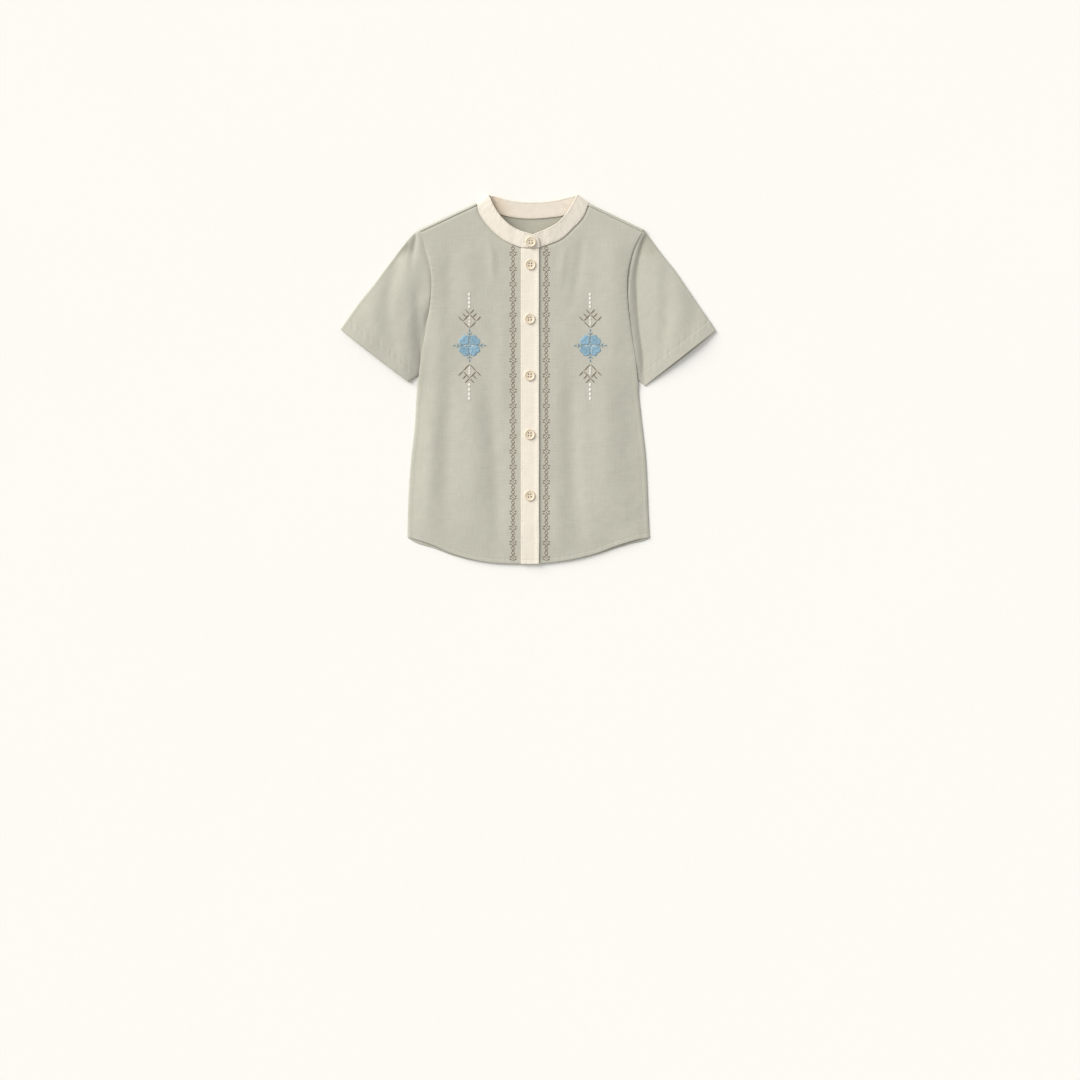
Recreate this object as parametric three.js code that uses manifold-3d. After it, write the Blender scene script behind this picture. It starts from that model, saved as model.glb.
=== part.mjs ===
// A toddler's short-sleeved kurta, buttoned and laid flat, face up.
// Millimetres, +Z up, +Y towards the collar. "right" and "left" are the wearer's: right is at -X.
// Every piece of cloth is a wall: a surface of two parameters, thickened along its own normals.
// Plan sizes are measured from a point 1.9 mm to the right of the placket's middle and 6.2 mm below
// the fourth button; the last lines move the origin under the middle of the whole kurta.

import * as THREE from 'three';
import { mergeVertices } from 'three/addons/utils/BufferGeometryUtils.js';
import Module from 'manifold-3d';

// Wall thicknesses and the gap that is left at every seam
const CLOTH = 1.2;
const COLLAR_CLOTH = 1.6;
const PLACKET_CLOTH = 1.8;
const SEAM_GAP = 0.3;
const SHOULDER_SEAM_GAP = 0.55;
const ARMHOLE_SEAM_GAP = 0.9;

// Heights above the surface that the kurta lies on
const FRONT_LEVEL = 6.2;
const SHOULDER_RADIUS = FRONT_LEVEL / 2;
const SIDE_RIM = CLOTH + 2 * SEAM_GAP;
const ARMHOLE_DROP = 1.2;
const CROWN_DROP = 1.5;
const CROWN_WIDTH = 42;
const HEM_DROP = 2.6;
const HEM_REACH = 34;
const HEM_CORNER = 60;
const EDGE_ROUND = 7;
const SLEEVE_INNER_DROP = 1.6;
const SLEEVE_FLOOR = 2 * CLOTH + 2 * SEAM_GAP;
const SLEEVE_OUTER_ROUND = 4.5;
const SLEEVE_INNER_ROUND = 3.4;
const COLLAR_RISE = 0.18;

// Placket, button stand and buttons
const PLACKET = { left: -11.6, right: 15.4, top: 197.1 };
const STAND = { left: -9.2, right: 13.2 };
const BUTTON = {
  radius: 7.75, thickness: 2.2, foot: 0.5, footHeight: 0.6, draft: 0.4, sides: 20,
  rim: 0.7, rimWidth: 1.7, rimSlope: 0.6,
  hole: 0.75, holeSpacing: 1.75, holeSides: 6,
};
const BUTTON_ROWS = [
  // x, y
  [3.1, 206.0],
  [2.6, 172.2],
  [1.6, 91.1],
  [1.6, 6.2],
  [1.6, -81.9],
  [1.6, -173.7],
].map(([x, y]) => ({ x, y }));

// Shares of the way down the body at which the neck edge and the armhole end, the rows start to bend
// towards the hem's curve, the front is at its full height below the shoulder, and its folds fade out
const NECK_SHARE = 0.26;
const ARMHOLE_SHARE = 0.4;
const HEM_BEND_SHARE = 0.7;
const SHOULDER_SHARE = 0.12;
const FOLD_END_SHARE = 0.93;

// Share of a front's columns that cross its flat part; the rest turn down at the side.
// Over the shares of its width in FOLD_CLEAR the folds come in from the front edge.
const FLAT_COLUMNS = 0.8;
const FOLD_CLEAR = [0.02, 0.16];

// Below the underarm the side of a front comes down to the back between these shares
const RIM_FALL = [ARMHOLE_SHARE - 0.02, ARMHOLE_SHARE + 0.05];

// Shares round a sleeve at which the roll at its outer fold, its top and the roll at its inner side end
const SLEEVE_TURNS = { outer: 0.2, top: 0.6, inner: 0.75 };

// Shares down a sleeve over which its outer fold grows round, its seam levels out and its folds fade
const SLEEVE_ROUND_SHARE = 0.3;
const SLEEVE_SEAM_SHARE = 0.08;
const SLEEVE_FOLD_FADE = [1.25, 0.8];

// Shares across a sleeve over which its head sinks to the armhole and its inner side sinks
const SLEEVE_HEAD_SINK = [0.04, 0.2];
const SLEEVE_INNER_SINK = [0.72, 1];

// Number of cells along each stretch of a piece's grid
const FRONT_GRID = { flat: 12, roll: 4, neck: 8, chest: 9, hem: 8 };
const BACK_GRID = { shoulder: 5, neck: 12, wrap: 5, armhole: 9, waist: 3, hem: 4 };
const SLEEVE_GRID = { outer: 6, top: 11, inner: 5, under: 9 };
const SLEEVE_ROWS = [0, 0.035, 0.07, 0.11, 0.16, 0.24, 0.36, 0.5, 0.65, 0.82, 1];
const COLLAR_GRID = { perSection: 2, high: 3 };
const PLACKET_COLUMNS = 2;

// Plan outlines of each side; rows are x, y from top to bottom
const SIDES = {
  right: {
    outward: -1,
    neck: [
      [-77.8, 262.5], [-74.8, 250.5], [-68, 238.5], [-59.3, 227.7],
      [-47.9, 216.3], [-34.6, 207], [-21.2, 201], [STAND.left - SEAM_GAP, 197.3],
    ],
    armhole: [
      [-162, 222.8], [-153.3, 190], [-146.6, 162.5], [-145.6, 143.6],
      [-148.3, 109], [-152.9, 85], [-155.6, 67.5],
    ],
    side: [
      [-155.6, 67.5], [-160.4, 42], [-164.6, 7.5], [-168.2, -22], [-170.6, -66],
      [-176.6, -120], [-180.6, -180], [-182, -236.3],
    ],
    sleeveFold: [
      [-164, 225.2], [-175, 216], [-190, 198], [-215.6, 165], [-233.6, 141], [-253, 117], [-282.4, 76],
    ],
    sleeveInner: [[-156.2, 66.5], [-161.4, 42], [-165.6, 10], [-179.3, -3.8]],
  },
  left: {
    outward: 1,
    neck: [
      [89.3, 261.8], [86.2, 252], [80.9, 241.8], [65.5, 225],
      [50.2, 211], [34.9, 203.6], [STAND.right + SEAM_GAP, 197.3],
    ],
    armhole: [
      [170.2, 222.8], [156.4, 193.5], [148.7, 160.8], [147.4, 136.7],
      [148.7, 112.5], [152.2, 81.6], [155, 62],
    ],
    side: [
      [155, 62], [159.4, 36], [163.3, 0], [166, -30], [170, -66],
      [175.9, -120], [179.2, -192], [181.3, -237],
    ],
    sleeveFold: [
      [172.4, 225.2], [183.4, 210], [201.4, 186], [218, 165], [234.4, 141], [251, 117], [280.4, 74],
    ],
    sleeveInner: [[155.6, 61], [160.5, 36], [164.4, 2], [173.6, -9.3]],
  },
};

// Hems and the neck edge of the back; rows are x, y from the right side to the left side
const FRONT_HEM = [
  [-182, -236.3], [-168, -239.6], [-143, -248], [-118, -259.2], [-94, -267], [-69, -272.4], [-44, -275],
  [-12, -275.8], [15, -275.6], [56, -271], [80.5, -266], [105, -259], [130, -249.5], [155, -241.5],
  [170, -238], [181.3, -237],
];
const BACK_HEM = [
  [-182, -236.3], [-169.3, -243.9], [-143, -252], [-118, -261.4], [-94, -268.4], [-69, -272.8],
  [-44, -275], [-12, -275.8], [15, -275.6], [56, -271.4], [80.5, -267], [105, -260.6], [130, -252.5],
  [155, -245], [171, -241.6], [181.3, -237],
];
const BACK_NECK = [
  [-77.8, 262.5], [-62, 255], [-44, 248], [-31, 244.5], [-18, 242.4], [-1, 241],
  [16, 241.8], [35, 243.2], [54.4, 246.5], [72, 253.5], [89.3, 261.8],
];

// Sections of the collar band, from its upper end round the neck to its lower end.
// "seam" is its lower edge on the neckline, "edge" its free edge, z the height of its outer face.
const COLLAR_SECTIONS = [
  // seamX, seamY, z, edgeX, edgeY
  [16.7, 198.0, 8.9, 15.2, 209.4],
  [13.2, 197.6, 8.9, 12.6, 213.4],
  [7.4, 197.5, 8.9, 6.6, 216.6],
  [-1.0, 197.5, 8.8, -2.0, 219.6],
  [-10.4, 197.9, 8.1, -11.4, 222.4],
  [-21.0, 201.4, 6.9, -24.5, 229.0],
  [-34.3, 207.5, 6.4, -34.6, 237.0],
  [-47.5, 216.7, 6.4, -43.9, 247.0],
  [-58.9, 228.0, 6.4, -50.6, 257.0],
  [-67.6, 238.8, 6.4, -54.8, 265.5],
  [-74.3, 250.6, 6.4, -57.4, 271.6],
  [-76.9, 261.2, 6.1, -59.2, 275.0],
  [-78.3, 265.6, 3.3, -60.3, 278.1],
  [-76.0, 263.2, 0.6, -57.8, 276.6],
  [-66.0, 258.0, 0.3, -50.0, 274.9],
  [-44.0, 248.5, 0.3, -34.6, 270.6],
  [-20.0, 243.0, 0.3, -14.0, 267.4],
  [3.0, 241.6, 0.3, 5.6, 266.6],
  [28.0, 243.0, 0.3, 25.0, 267.4],
  [54.4, 247.0, 0.3, 46.0, 270.6],
  [77.6, 257.2, 0.3, 62.6, 274.9],
  [87.4, 262.6, 0.6, 70.4, 276.6],
  [90.0, 264.9, 3.3, 72.7, 278.1],
  [88.2, 260.4, 6.1, 71.0, 274.8],
  [85.2, 251.9, 6.4, 67.4, 267.4],
  [80.1, 242.1, 6.4, 60.6, 255.6],
  [64.8, 225.6, 6.4, 52.8, 244.8],
  [49.8, 211.7, 6.4, 42.3, 234.2],
  [34.6, 204.4, 6.4, 27.2, 226.0],
  [25.2, 201.2, 6.4, 19.6, 222.8],
  [16.6, 198.6, 6.4, 12.2, 219.8],
  [8.0, 197.5, 6.4, 4.4, 216.6],
  [-1.0, 197.5, 6.4, -3.6, 213.4],
  [-7.2, 197.8, 6.4, -7.4, 209.4],
].map(([seamX, seamY, z, edgeX, edgeY]) => ({ seamX, seamY, z, edgeX, edgeY }));

// Folds: soft ridges (rise above 0) and troughs (rise below 0), each a bowed line with a bell-shaped side.
const FRONT_FOLDS = [
  // x0, y0, x1, y1, bow, width, rise
  [-125, 214, -122, 92, 4, 11, -0.9],
  [-119, 10, -122, -205, -4, 15, -1.5],
  [-92, 196, -88, 118, 0, 15, 0.6],
  [-86, -20, -84, -190, 3, 15, 0.8],
  [-60, 214, -53, 158, 2, 6, 0.7],
  [-62, -30, -50, -236, 6, 13, -1.3],
  [-150, 196, -149, 96, 3, 8, 0.6],
  [-148, -60, -154, -206, 3, 12, 0.5],
  [74, 212, 66, 128, 4, 8, -0.9],
  [54, 197, 47, 148, 0, 6, 0.7],
  [126, 222, 122, 158, 3, 8, 0.8],
  [68, -6, 80, -232, -8, 14, -1.4],
  [113, 12, 118, -180, 0, 16, 0.8],
  [40, 60, 44, -60, 3, 14, 0.4],
  [146, 30, 160, -190, -3, 13, -0.7],
];
const SLEEVE_FOLDS = {
  right: [
    [-165.5, 206, -170, 100, -5, 6.5, -2.3],
    [-170, 100, -173.5, 4, 0, 7.5, -2.7],
    [-179, 208, -206, 88, -8, 7.5, -1.8],
    [-188, 176, -192, 40, 3, 9, 0.8],
    [-226, 130, -222, 62, 0, 12, 0.5],
  ],
  left: [
    [163, 212, 161, 96, -7, 8.5, -3.5],
    [161, 96, 168, -2, 0, 6.5, -3.3],
    [180, 196, 179, 42, -3, 6.5, 0.9],
    [197, 176, 194, 44, 3, 9, -1.1],
    [228, 140, 220, 58, 0, 13, 0.6],
  ],
};

// Cosine of the sharpest bend over which a wall's normals are carried on to its edge
const GENTLE_BEND = 0.8;

const clamp = (value, low, high) => Math.min(high, Math.max(low, value));
const mix = (from, to, share) => from + (to - from) * share;

function smooth(low, high, value) {
  const share = clamp((value - low) / (high - low), 0, 1);
  return share * share * (3 - 2 * share);
}

// Evenly spaced values from one number to another, leaving out the last
const steps = (from, to, count) => Array.from({ length: count }, (_, i) => mix(from, to, i / count));

// A smooth curve through rows of x, y, read by its length
function planCurve(rows) {
  return new THREE.CatmullRomCurve3(rows.map(([x, y]) => new THREE.Vector3(x, y, 0)));
}

// The height y of a curve that runs from -X to +X, read at any x
function heightAlong(rows) {
  const points = planCurve(rows).getPoints(rows.length * 8);
  return (x) => {
    const next = clamp(points.findIndex((point) => point.x > x), 1, points.length - 1);
    const [from, to] = [points[next - 1], points[next]];
    return mix(from.y, to.y, clamp((x - from.x) / (to.x - from.x), 0, 1));
  };
}

// Sum of the folds at a point: rise * exp(-(distance to the bowed line / width)^2)
function foldRise(folds, x, y) {
  let sum = 0;
  for (const [x0, y0, x1, y1, bow, width, rise] of folds) {
    const [dx, dy] = [x1 - x0, y1 - y0];
    const length = Math.hypot(dx, dy);
    const share = clamp(((x - x0) * dx + (y - y0) * dy) / length ** 2, 0, 1);
    const offset = bow * 4 * share * (1 - share);
    const foldX = x0 + dx * share - (offset * dy) / length;
    const foldY = y0 + dy * share + (offset * dx) / length;
    sum += rise * Math.exp(-(((x - foldX) ** 2 + (y - foldY) ** 2) / width ** 2));
  }
  return sum;
}

// A wall: the surface point(u, v) over a grid, and the same grid moved in along the normals.
// closed joins the last u to the first, flip turns the outer side over, and keep says which cells exist.
function clothWall(point, us, vs, thickness, { closed = false, flip = false, keep = () => true } = {}) {
  const columns = us.length;
  const rows = vs.length;
  const outer = [];
  for (const v of vs) {
    for (const u of us) {
      outer.push(point(u, v));
    }
  }
  const faces = [];
  const spans = closed ? columns : columns - 1;
  for (let j = 0; j + 1 < rows; j += 1) {
    for (let i = 0; i < spans; i += 1) {
      if (!keep(us[i], us[(i + 1) % columns], vs[j])) continue;
      const a = j * columns + i;
      const b = j * columns + ((i + 1) % columns);
      const corners = [a, b, b + columns, a + columns];
      if (flip) corners.reverse();
      faces.push([corners[0], corners[1], corners[2]], [corners[0], corners[2], corners[3]]);
    }
  }
  const normals = outer.map(() => new THREE.Vector3());
  for (const [a, b, c] of faces) {
    const side = outer[b].clone().sub(outer[a]);
    const normal = side.cross(outer[c].clone().sub(outer[a]));
    [a, b, c].forEach((corner) => normals[corner].add(normal));
  }
  normals.forEach((normal) => normal.normalize());
  // On an open edge only one face counts, so where the wall bends gently the normal is carried on past it
  const carryOn = (k, neighbour) => {
    if (normals[k].dot(normals[neighbour]) < GENTLE_BEND) return;
    normals[k].multiplyScalar(2).sub(normals[neighbour]).normalize();
  };
  for (let i = 0; i < columns; i += 1) {
    const last = (rows - 1) * columns + i;
    carryOn(i, i + columns);
    carryOn(last, last - columns);
  }
  for (let j = 0; j < rows && !closed; j += 1) {
    carryOn(j * columns, j * columns + 1);
    carryOn((j + 1) * columns - 1, (j + 1) * columns - 2);
  }
  const inner = outer.map((at, k) => at.clone().addScaledVector(normals[k], -thickness));
  const count = outer.length;
  const index = [];
  const edges = new Map();
  for (const [a, b, c] of faces) {
    index.push(a, b, c, count + a, count + c, count + b);
    [[a, b], [b, c], [c, a]].forEach(([from, to]) => edges.set(`${from} ${to}`, [from, to]));
  }
  for (const [from, to] of edges.values()) {
    if (!edges.has(`${to} ${from}`)) {
      index.push(to, from, count + from, to, count + from, count + to);
    }
  }
  const geometry = new THREE.BufferGeometry();
  const positions = [...outer, ...inner].flatMap((at) => at.toArray());
  geometry.setAttribute('position', new THREE.Float32BufferAttribute(positions, 3));
  geometry.setIndex(index);
  return geometry.toNonIndexed();
}

const frontHemAt = heightAlong(FRONT_HEM);
const backHemAt = heightAlong(BACK_HEM);
const backNeckAt = heightAlong(BACK_NECK);

for (const side of Object.values(SIDES)) {
  side.neckCurve = planCurve(side.neck);
  side.armholeCurve = planCurve(side.armhole);
  side.sideCurve = planCurve(side.side);
  side.foldCurve = planCurve(side.sleeveFold);
  side.innerCurve = planCurve(side.sleeveInner);
  side.sleeveHeadCurve = planCurve([side.sleeveFold[0], ...side.armhole]);
}

// Armhole and then side seam of one side, v from the shoulder tip (0) to the hem (1)
function outerEdge(side, v) {
  if (v < ARMHOLE_SHARE) return side.armholeCurve.getPointAt(v / ARMHOLE_SHARE);
  return side.sideCurve.getPointAt((v - ARMHOLE_SHARE) / (1 - ARMHOLE_SHARE));
}

// Neck edge and then front edge of one front, v from the shoulder (0) to the hem (1)
function innerEdge(side, v) {
  if (v < NECK_SHARE) return side.neckCurve.getPointAt(v / NECK_SHARE);
  const top = side.neckCurve.getPointAt(1);
  const bottom = new THREE.Vector3(top.x, frontHemAt(top.x), 0);
  return top.lerp(bottom, (v - NECK_SHARE) / (1 - NECK_SHARE));
}

// How far the lay of the fronts sinks towards the hem, clear of its corners
function hemSink(x, y, fromSide) {
  const nearHem = Math.exp(-(((y - frontHemAt(x)) / HEM_REACH) ** 2));
  return HEM_DROP * nearHem * smooth(0, HEM_CORNER, fromSide);
}

// Top of the fronts along the placket
const middleHeight = (y) => FRONT_LEVEL - hemSink((PLACKET.left + PLACKET.right) / 2, y, HEM_CORNER);

// One front: a level lay with folds, crowned towards the side, whose outer edge rolls down to the back
function frontPoint(side, u, v) {
  const outer = outerEdge(side, v);
  const inner = innerEdge(side, v);
  const width = outer.distanceTo(inner);
  const flatShare = 1 - EDGE_ROUND / width;
  const turn = Math.max(0, (u - FLAT_COLUMNS) / (1 - FLAT_COLUMNS)) * (Math.PI / 2);
  const share = turn > 0 ? mix(flatShare, 1, Math.sin(turn)) : (u / FLAT_COLUMNS) * flatShare;
  const at = inner.clone().lerp(outer, share);
  const hemChord = innerEdge(side, 1).lerp(outerEdge(side, 1), share);
  at.y += smooth(HEM_BEND_SHARE, 1, v) * (frontHemAt(hemChord.x) - hemChord.y);
  if (v === 0) at.y -= SHOULDER_SEAM_GAP;
  const fromSide = (1 - Math.min(share, flatShare)) * width;
  const belowShoulder = smooth(0, SHOULDER_SHARE, v);
  const crown = CROWN_DROP * clamp(1 - fromSide / CROWN_WIDTH, 0, 1) ** 2 * belowShoulder;
  const awayFromSeams = smooth(...FOLD_CLEAR, share) * belowShoulder * smooth(1, FOLD_END_SHARE, v);
  const folds = foldRise(side.frontFolds, at.x, at.y) * awayFromSeams;
  const top = FRONT_LEVEL - crown - hemSink(at.x, at.y, fromSide) + folds;
  const rim = mix(top - ARMHOLE_DROP * belowShoulder, SIDE_RIM, smooth(...RIM_FALL, v));
  at.z = mix(rim, top, Math.cos(turn));
  return at;
}

// Shares of the width of the back, from the right shoulder tip, at which its neck edge starts and ends
const shoulderSpan = SIDES.left.armhole[0][0] - SIDES.right.armhole[0][0];
const neckStart = (SIDES.right.neck[0][0] - SIDES.right.armhole[0][0]) / shoulderSpan;
const neckEnd = (SIDES.left.neck[0][0] - SIDES.right.armhole[0][0]) / shoulderSpan;
const onShoulder = (u) => u <= neckStart || u >= neckEnd;

// The back lies flat. Over each shoulder it turns up and forwards through half a circle to the seam.
function backPoint(u, v) {
  const down = Math.max(v, 0);
  const acrossAt = (share) => outerEdge(SIDES.right, share).lerp(outerEdge(SIDES.left, share), u);
  const at = acrossAt(down);
  const tipChord = acrossAt(0);
  const hemChord = acrossAt(1);
  const side = tipChord.x < 0 ? SIDES.right : SIDES.left;
  const [neckX, neckY] = side.neck[0];
  const [tipX, tipY] = side.armhole[0];
  const shoulderY = mix(neckY, tipY, (tipChord.x - neckX) / (tipX - neckX));
  const topY = onShoulder(u) ? shoulderY : backNeckAt(tipChord.x) - 2 * SEAM_GAP;
  at.y += (topY - tipChord.y) * (1 - smooth(0, ARMHOLE_SHARE, down));
  at.y += (backHemAt(hemChord.x) - hemChord.y) * smooth(HEM_BEND_SHARE, 1, down);
  if (v >= 0) return at;
  const turn = -v * Math.PI;
  const slope = new THREE.Vector2(neckX - tipX, neckY - tipY).normalize();
  const outwardX = -slope.y * Math.sign(slope.x);
  const outwardY = Math.abs(slope.x);
  at.x += outwardX * SHOULDER_RADIUS * Math.sin(turn);
  at.y += outwardY * SHOULDER_RADIUS * Math.sin(turn);
  at.z = SHOULDER_RADIUS * (1 - Math.cos(turn));
  return at;
}

// Flattened tube of one sleeve: u goes round it, v from the armhole (0) to the hem (1).
// It rolls round the outer fold, crosses the top, rolls in at the inner side and comes back below.
function sleevePoint(side, u, v) {
  const fold = side.foldCurve.getPointAt(v);
  const inner = side.innerCurve.getPointAt(v);
  const width = fold.distanceTo(inner);
  const outerRound = mix(SHOULDER_RADIUS, SLEEVE_OUTER_ROUND, smooth(0, SLEEVE_ROUND_SHARE, v));
  const innerRound = SLEEVE_INNER_ROUND;
  const { outer: outerEnd, top: topEnd, inner: innerEnd } = SLEEVE_TURNS;
  let across = 0;
  let lift = 1;
  if (u < outerEnd) {
    const turn = mix(-Math.PI / 2, Math.PI / 2, u / outerEnd);
    across = outerRound * (1 - Math.cos(turn));
    lift = (1 + Math.sin(turn)) / 2;
  } else if (u < topEnd) {
    across = mix(outerRound, width - innerRound, (u - outerEnd) / (topEnd - outerEnd));
  } else if (u < innerEnd) {
    const turn = mix(Math.PI / 2, -Math.PI / 2, (u - topEnd) / (innerEnd - topEnd));
    across = width - innerRound * (1 - Math.cos(turn));
    lift = (1 + Math.sin(turn)) / 2;
  } else {
    across = mix(width - innerRound, outerRound, (u - innerEnd) / (1 - innerEnd));
    lift = 0;
  }
  const share = across / width;
  const at = fold.clone().lerp(inner, share);
  const head = side.sleeveHeadCurve;
  const chord = head.getPointAt(0).lerp(head.getPointAt(1), share);
  at.addScaledVector(head.getPointAt(share).sub(chord), (1 - v) ** 2);
  at.x += side.outward * ARMHOLE_SEAM_GAP;
  const seam = smooth(0, SLEEVE_SEAM_SHARE, v);
  const level = FRONT_LEVEL - ARMHOLE_DROP * smooth(...SLEEVE_HEAD_SINK, share) * (1 - seam);
  const innerSink = SLEEVE_INNER_DROP * smooth(...SLEEVE_INNER_SINK, share);
  const folds = foldRise(side.sleeveFolds, at.x, at.y) * seam * smooth(...SLEEVE_FOLD_FADE, v);
  at.z = Math.max(SLEEVE_FLOOR, level - innerSink + folds) * lift;
  return at;
}

const collarSeam = new THREE.CatmullRomCurve3(
  COLLAR_SECTIONS.map(({ seamX, seamY, z }) => new THREE.Vector3(seamX, seamY, z)),
);
const collarEdge = new THREE.CatmullRomCurve3(
  COLLAR_SECTIONS.map(({ seamX, seamY, z, edgeX, edgeY }) => {
    const reach = Math.hypot(edgeX - seamX, edgeY - seamY);
    return new THREE.Vector3(edgeX, edgeY, z + COLLAR_RISE * reach);
  }),
);

// The band leans out from its seam: v from the seam (0) to the free edge (1)
const collarPoint = (u, v) => collarSeam.getPoint(u).lerp(collarEdge.getPoint(u), v);

// A strip over the front edges between two x values, standing a height above the lay
function stripPoint(left, right, top, above, u, v) {
  const x = mix(left, right, u);
  const y = mix(top, frontHemAt(x), v);
  return new THREE.Vector3(x, y, middleHeight(y) + above);
}

const materials = {
  sage: { color: 0xc6c3b5, roughness: 0.9 },
  cream: { color: 0xf0e8da, roughness: 0.85 },
  button: { color: 0xf3e6cf, roughness: 0.4 },
};

const kurta = new THREE.Group();
kurta.name = 'kurta';

function addMesh(name, geometry, finish) {
  const material = new THREE.MeshStandardMaterial({ ...materials[finish], metalness: 0 });
  const mesh = new THREE.Mesh(geometry, material);
  mesh.name = name;
  kurta.add(mesh);
  return mesh;
}

// Fronts
const frontColumns = [
  ...steps(0, FLAT_COLUMNS, FRONT_GRID.flat),
  ...steps(FLAT_COLUMNS, 1, FRONT_GRID.roll),
  1,
];
const frontRows = [
  ...steps(0, NECK_SHARE, FRONT_GRID.neck),
  ...steps(NECK_SHARE, HEM_BEND_SHARE, FRONT_GRID.chest),
  ...steps(HEM_BEND_SHARE, 1, FRONT_GRID.hem),
  1,
];
for (const [name, side] of Object.entries(SIDES)) {
  const mirrored = side.outward > 0;
  side.frontFolds = FRONT_FOLDS.filter(([x0]) => x0 * side.outward > 0);
  side.sleeveFolds = SLEEVE_FOLDS[name];
  const front = clothWall((u, v) => frontPoint(side, u, v), frontColumns, frontRows, CLOTH, {
    flip: mirrored,
  });
  addMesh(`${name}_front`, front, 'sage');
}

// Back
const backColumns = [
  ...steps(0, neckStart, BACK_GRID.shoulder),
  ...steps(neckStart, neckEnd, BACK_GRID.neck),
  ...steps(neckEnd, 1, BACK_GRID.shoulder),
  1,
];
const backRows = [
  ...steps(-1, 0, BACK_GRID.wrap),
  ...steps(0, ARMHOLE_SHARE, BACK_GRID.armhole),
  ...steps(ARMHOLE_SHARE, HEM_BEND_SHARE, BACK_GRID.waist),
  ...steps(HEM_BEND_SHARE, 1, BACK_GRID.hem),
  1,
];
const back = clothWall(backPoint, backColumns, backRows, CLOTH, {
  keep: (from, to, v) => v >= 0 || to <= neckStart || from >= neckEnd,
});
addMesh('back', back, 'sage');

// Sleeves
const { outer: outerTurn, top: topTurn, inner: innerTurn } = SLEEVE_TURNS;
const sleeveRound = [
  ...steps(0, outerTurn, SLEEVE_GRID.outer),
  ...steps(outerTurn, topTurn, SLEEVE_GRID.top),
  ...steps(topTurn, innerTurn, SLEEVE_GRID.inner),
  ...steps(innerTurn, 1, SLEEVE_GRID.under),
];
for (const [name, side] of Object.entries(SIDES)) {
  const sleeve = clothWall((u, v) => sleevePoint(side, u, v), sleeveRound, SLEEVE_ROWS, CLOTH, {
    closed: true,
    flip: side.outward < 0,
  });
  addMesh(`${name}_sleeve`, sleeve, 'sage');
}

// Collar
const collarColumns = [...steps(0, 1, COLLAR_GRID.perSection * (COLLAR_SECTIONS.length - 1)), 1];
const collarRows = [...steps(0, 1, COLLAR_GRID.high), 1];
const collar = clothWall(collarPoint, collarColumns, collarRows, COLLAR_CLOTH, { flip: true });
addMesh('collar', collar, 'cream');

// Placket and button stand
const stripRows = frontRows.filter((v) => v >= NECK_SHARE).map((v) => (v - NECK_SHARE) / (1 - NECK_SHARE));
const placketAbove = SEAM_GAP + PLACKET_CLOTH;
const placket = clothWall(
  (u, v) => stripPoint(PLACKET.left, PLACKET.right, PLACKET.top, placketAbove, u, v),
  [...steps(0, 1, PLACKET_COLUMNS), 1],
  stripRows,
  PLACKET_CLOTH,
  { flip: true },
);
addMesh('placket', placket, 'cream');
const stand = clothWall(
  (u, v) => stripPoint(STAND.left, STAND.right, PLACKET.top, 0, u, v),
  [0, 1],
  stripRows,
  CLOTH,
  { flip: true },
);
addMesh('button_stand', stand, 'cream');

// Buttons: a turned disc with a raised rim, and four holes cut through it
const wasm = await Module();
wasm.setup();

function toManifold(geometry) {
  const bare = geometry.clone();
  bare.deleteAttribute('normal');
  bare.deleteAttribute('uv');
  const merged = mergeVertices(bare, 1e-4);
  const vertProperties = new Float32Array(merged.attributes.position.array);
  const triVerts = new Uint32Array(merged.index.array);
  return new wasm.Manifold(new wasm.Mesh({ numProp: 3, vertProperties, triVerts }));
}

function fromManifold(solid) {
  const { vertProperties, triVerts } = solid.getMesh();
  const geometry = new THREE.BufferGeometry();
  geometry.setAttribute('position', new THREE.BufferAttribute(vertProperties, 3));
  geometry.setIndex(new THREE.BufferAttribute(triVerts, 1));
  return geometry;
}

function buttonGeometry() {
  const { radius, thickness, foot, footHeight, draft, sides } = BUTTON;
  const { rim, rimWidth, rimSlope, hole, holeSpacing, holeSides } = BUTTON;
  const profile = [
    [0, 0],
    [radius - foot, 0],
    [radius, footHeight],
    [radius - draft, thickness],
    [radius - rimWidth, thickness],
    [radius - rimWidth - rimSlope, thickness - rim],
    [0, thickness - rim],
  ].map(([x, y]) => new THREE.Vector2(x, y));
  let disc = toManifold(new THREE.LatheGeometry(profile, sides).rotateX(Math.PI / 2));
  for (const x of [-holeSpacing, holeSpacing]) {
    for (const y of [-holeSpacing, holeSpacing]) {
      const drill = new THREE.CylinderGeometry(hole, hole, 3 * thickness, holeSides);
      drill.rotateX(Math.PI / 2).translate(x, y, 0);
      disc = disc.subtract(toManifold(drill));
    }
  }
  return fromManifold(disc);
}

const button = buttonGeometry();
BUTTON_ROWS.forEach(({ x, y }, row) => {
  const mesh = addMesh(`button_${row + 1}`, button.clone(), 'button');
  const onCollar = row === 0;
  if (onCollar) {
    const lean = Math.atan(COLLAR_RISE);
    const top = COLLAR_SECTIONS[0].z + COLLAR_RISE * (y - COLLAR_SECTIONS[1].seamY);
    mesh.rotation.x = lean;
    mesh.position.set(x, y, top + SEAM_GAP);
  } else {
    mesh.position.set(x, y, middleHeight(y) + placketAbove + SEAM_GAP);
  }
});

// The origin is on the surface, under the middle of the kurta's box
const box = new THREE.Box3().setFromObject(kurta);
kurta.position.set(-(box.min.x + box.max.x) / 2, -(box.min.y + box.max.y) / 2, -box.min.z);

export default kurta;
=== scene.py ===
"""A toddler's short-sleeved kurta, buttoned and laid flat, face up: cloth, sewing, embroidery and buttons.

Plan sizes are in millimetres, from a point 1.9 mm to the wearer's right of the placket's middle and
6.2 mm below the fourth button. "right" and "left" are the wearer's, so right is at -X. Every piece of
cloth is a shell: a middle surface on a grid, worked out as whole arrays, with a skin on either side.
"""

import math

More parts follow.
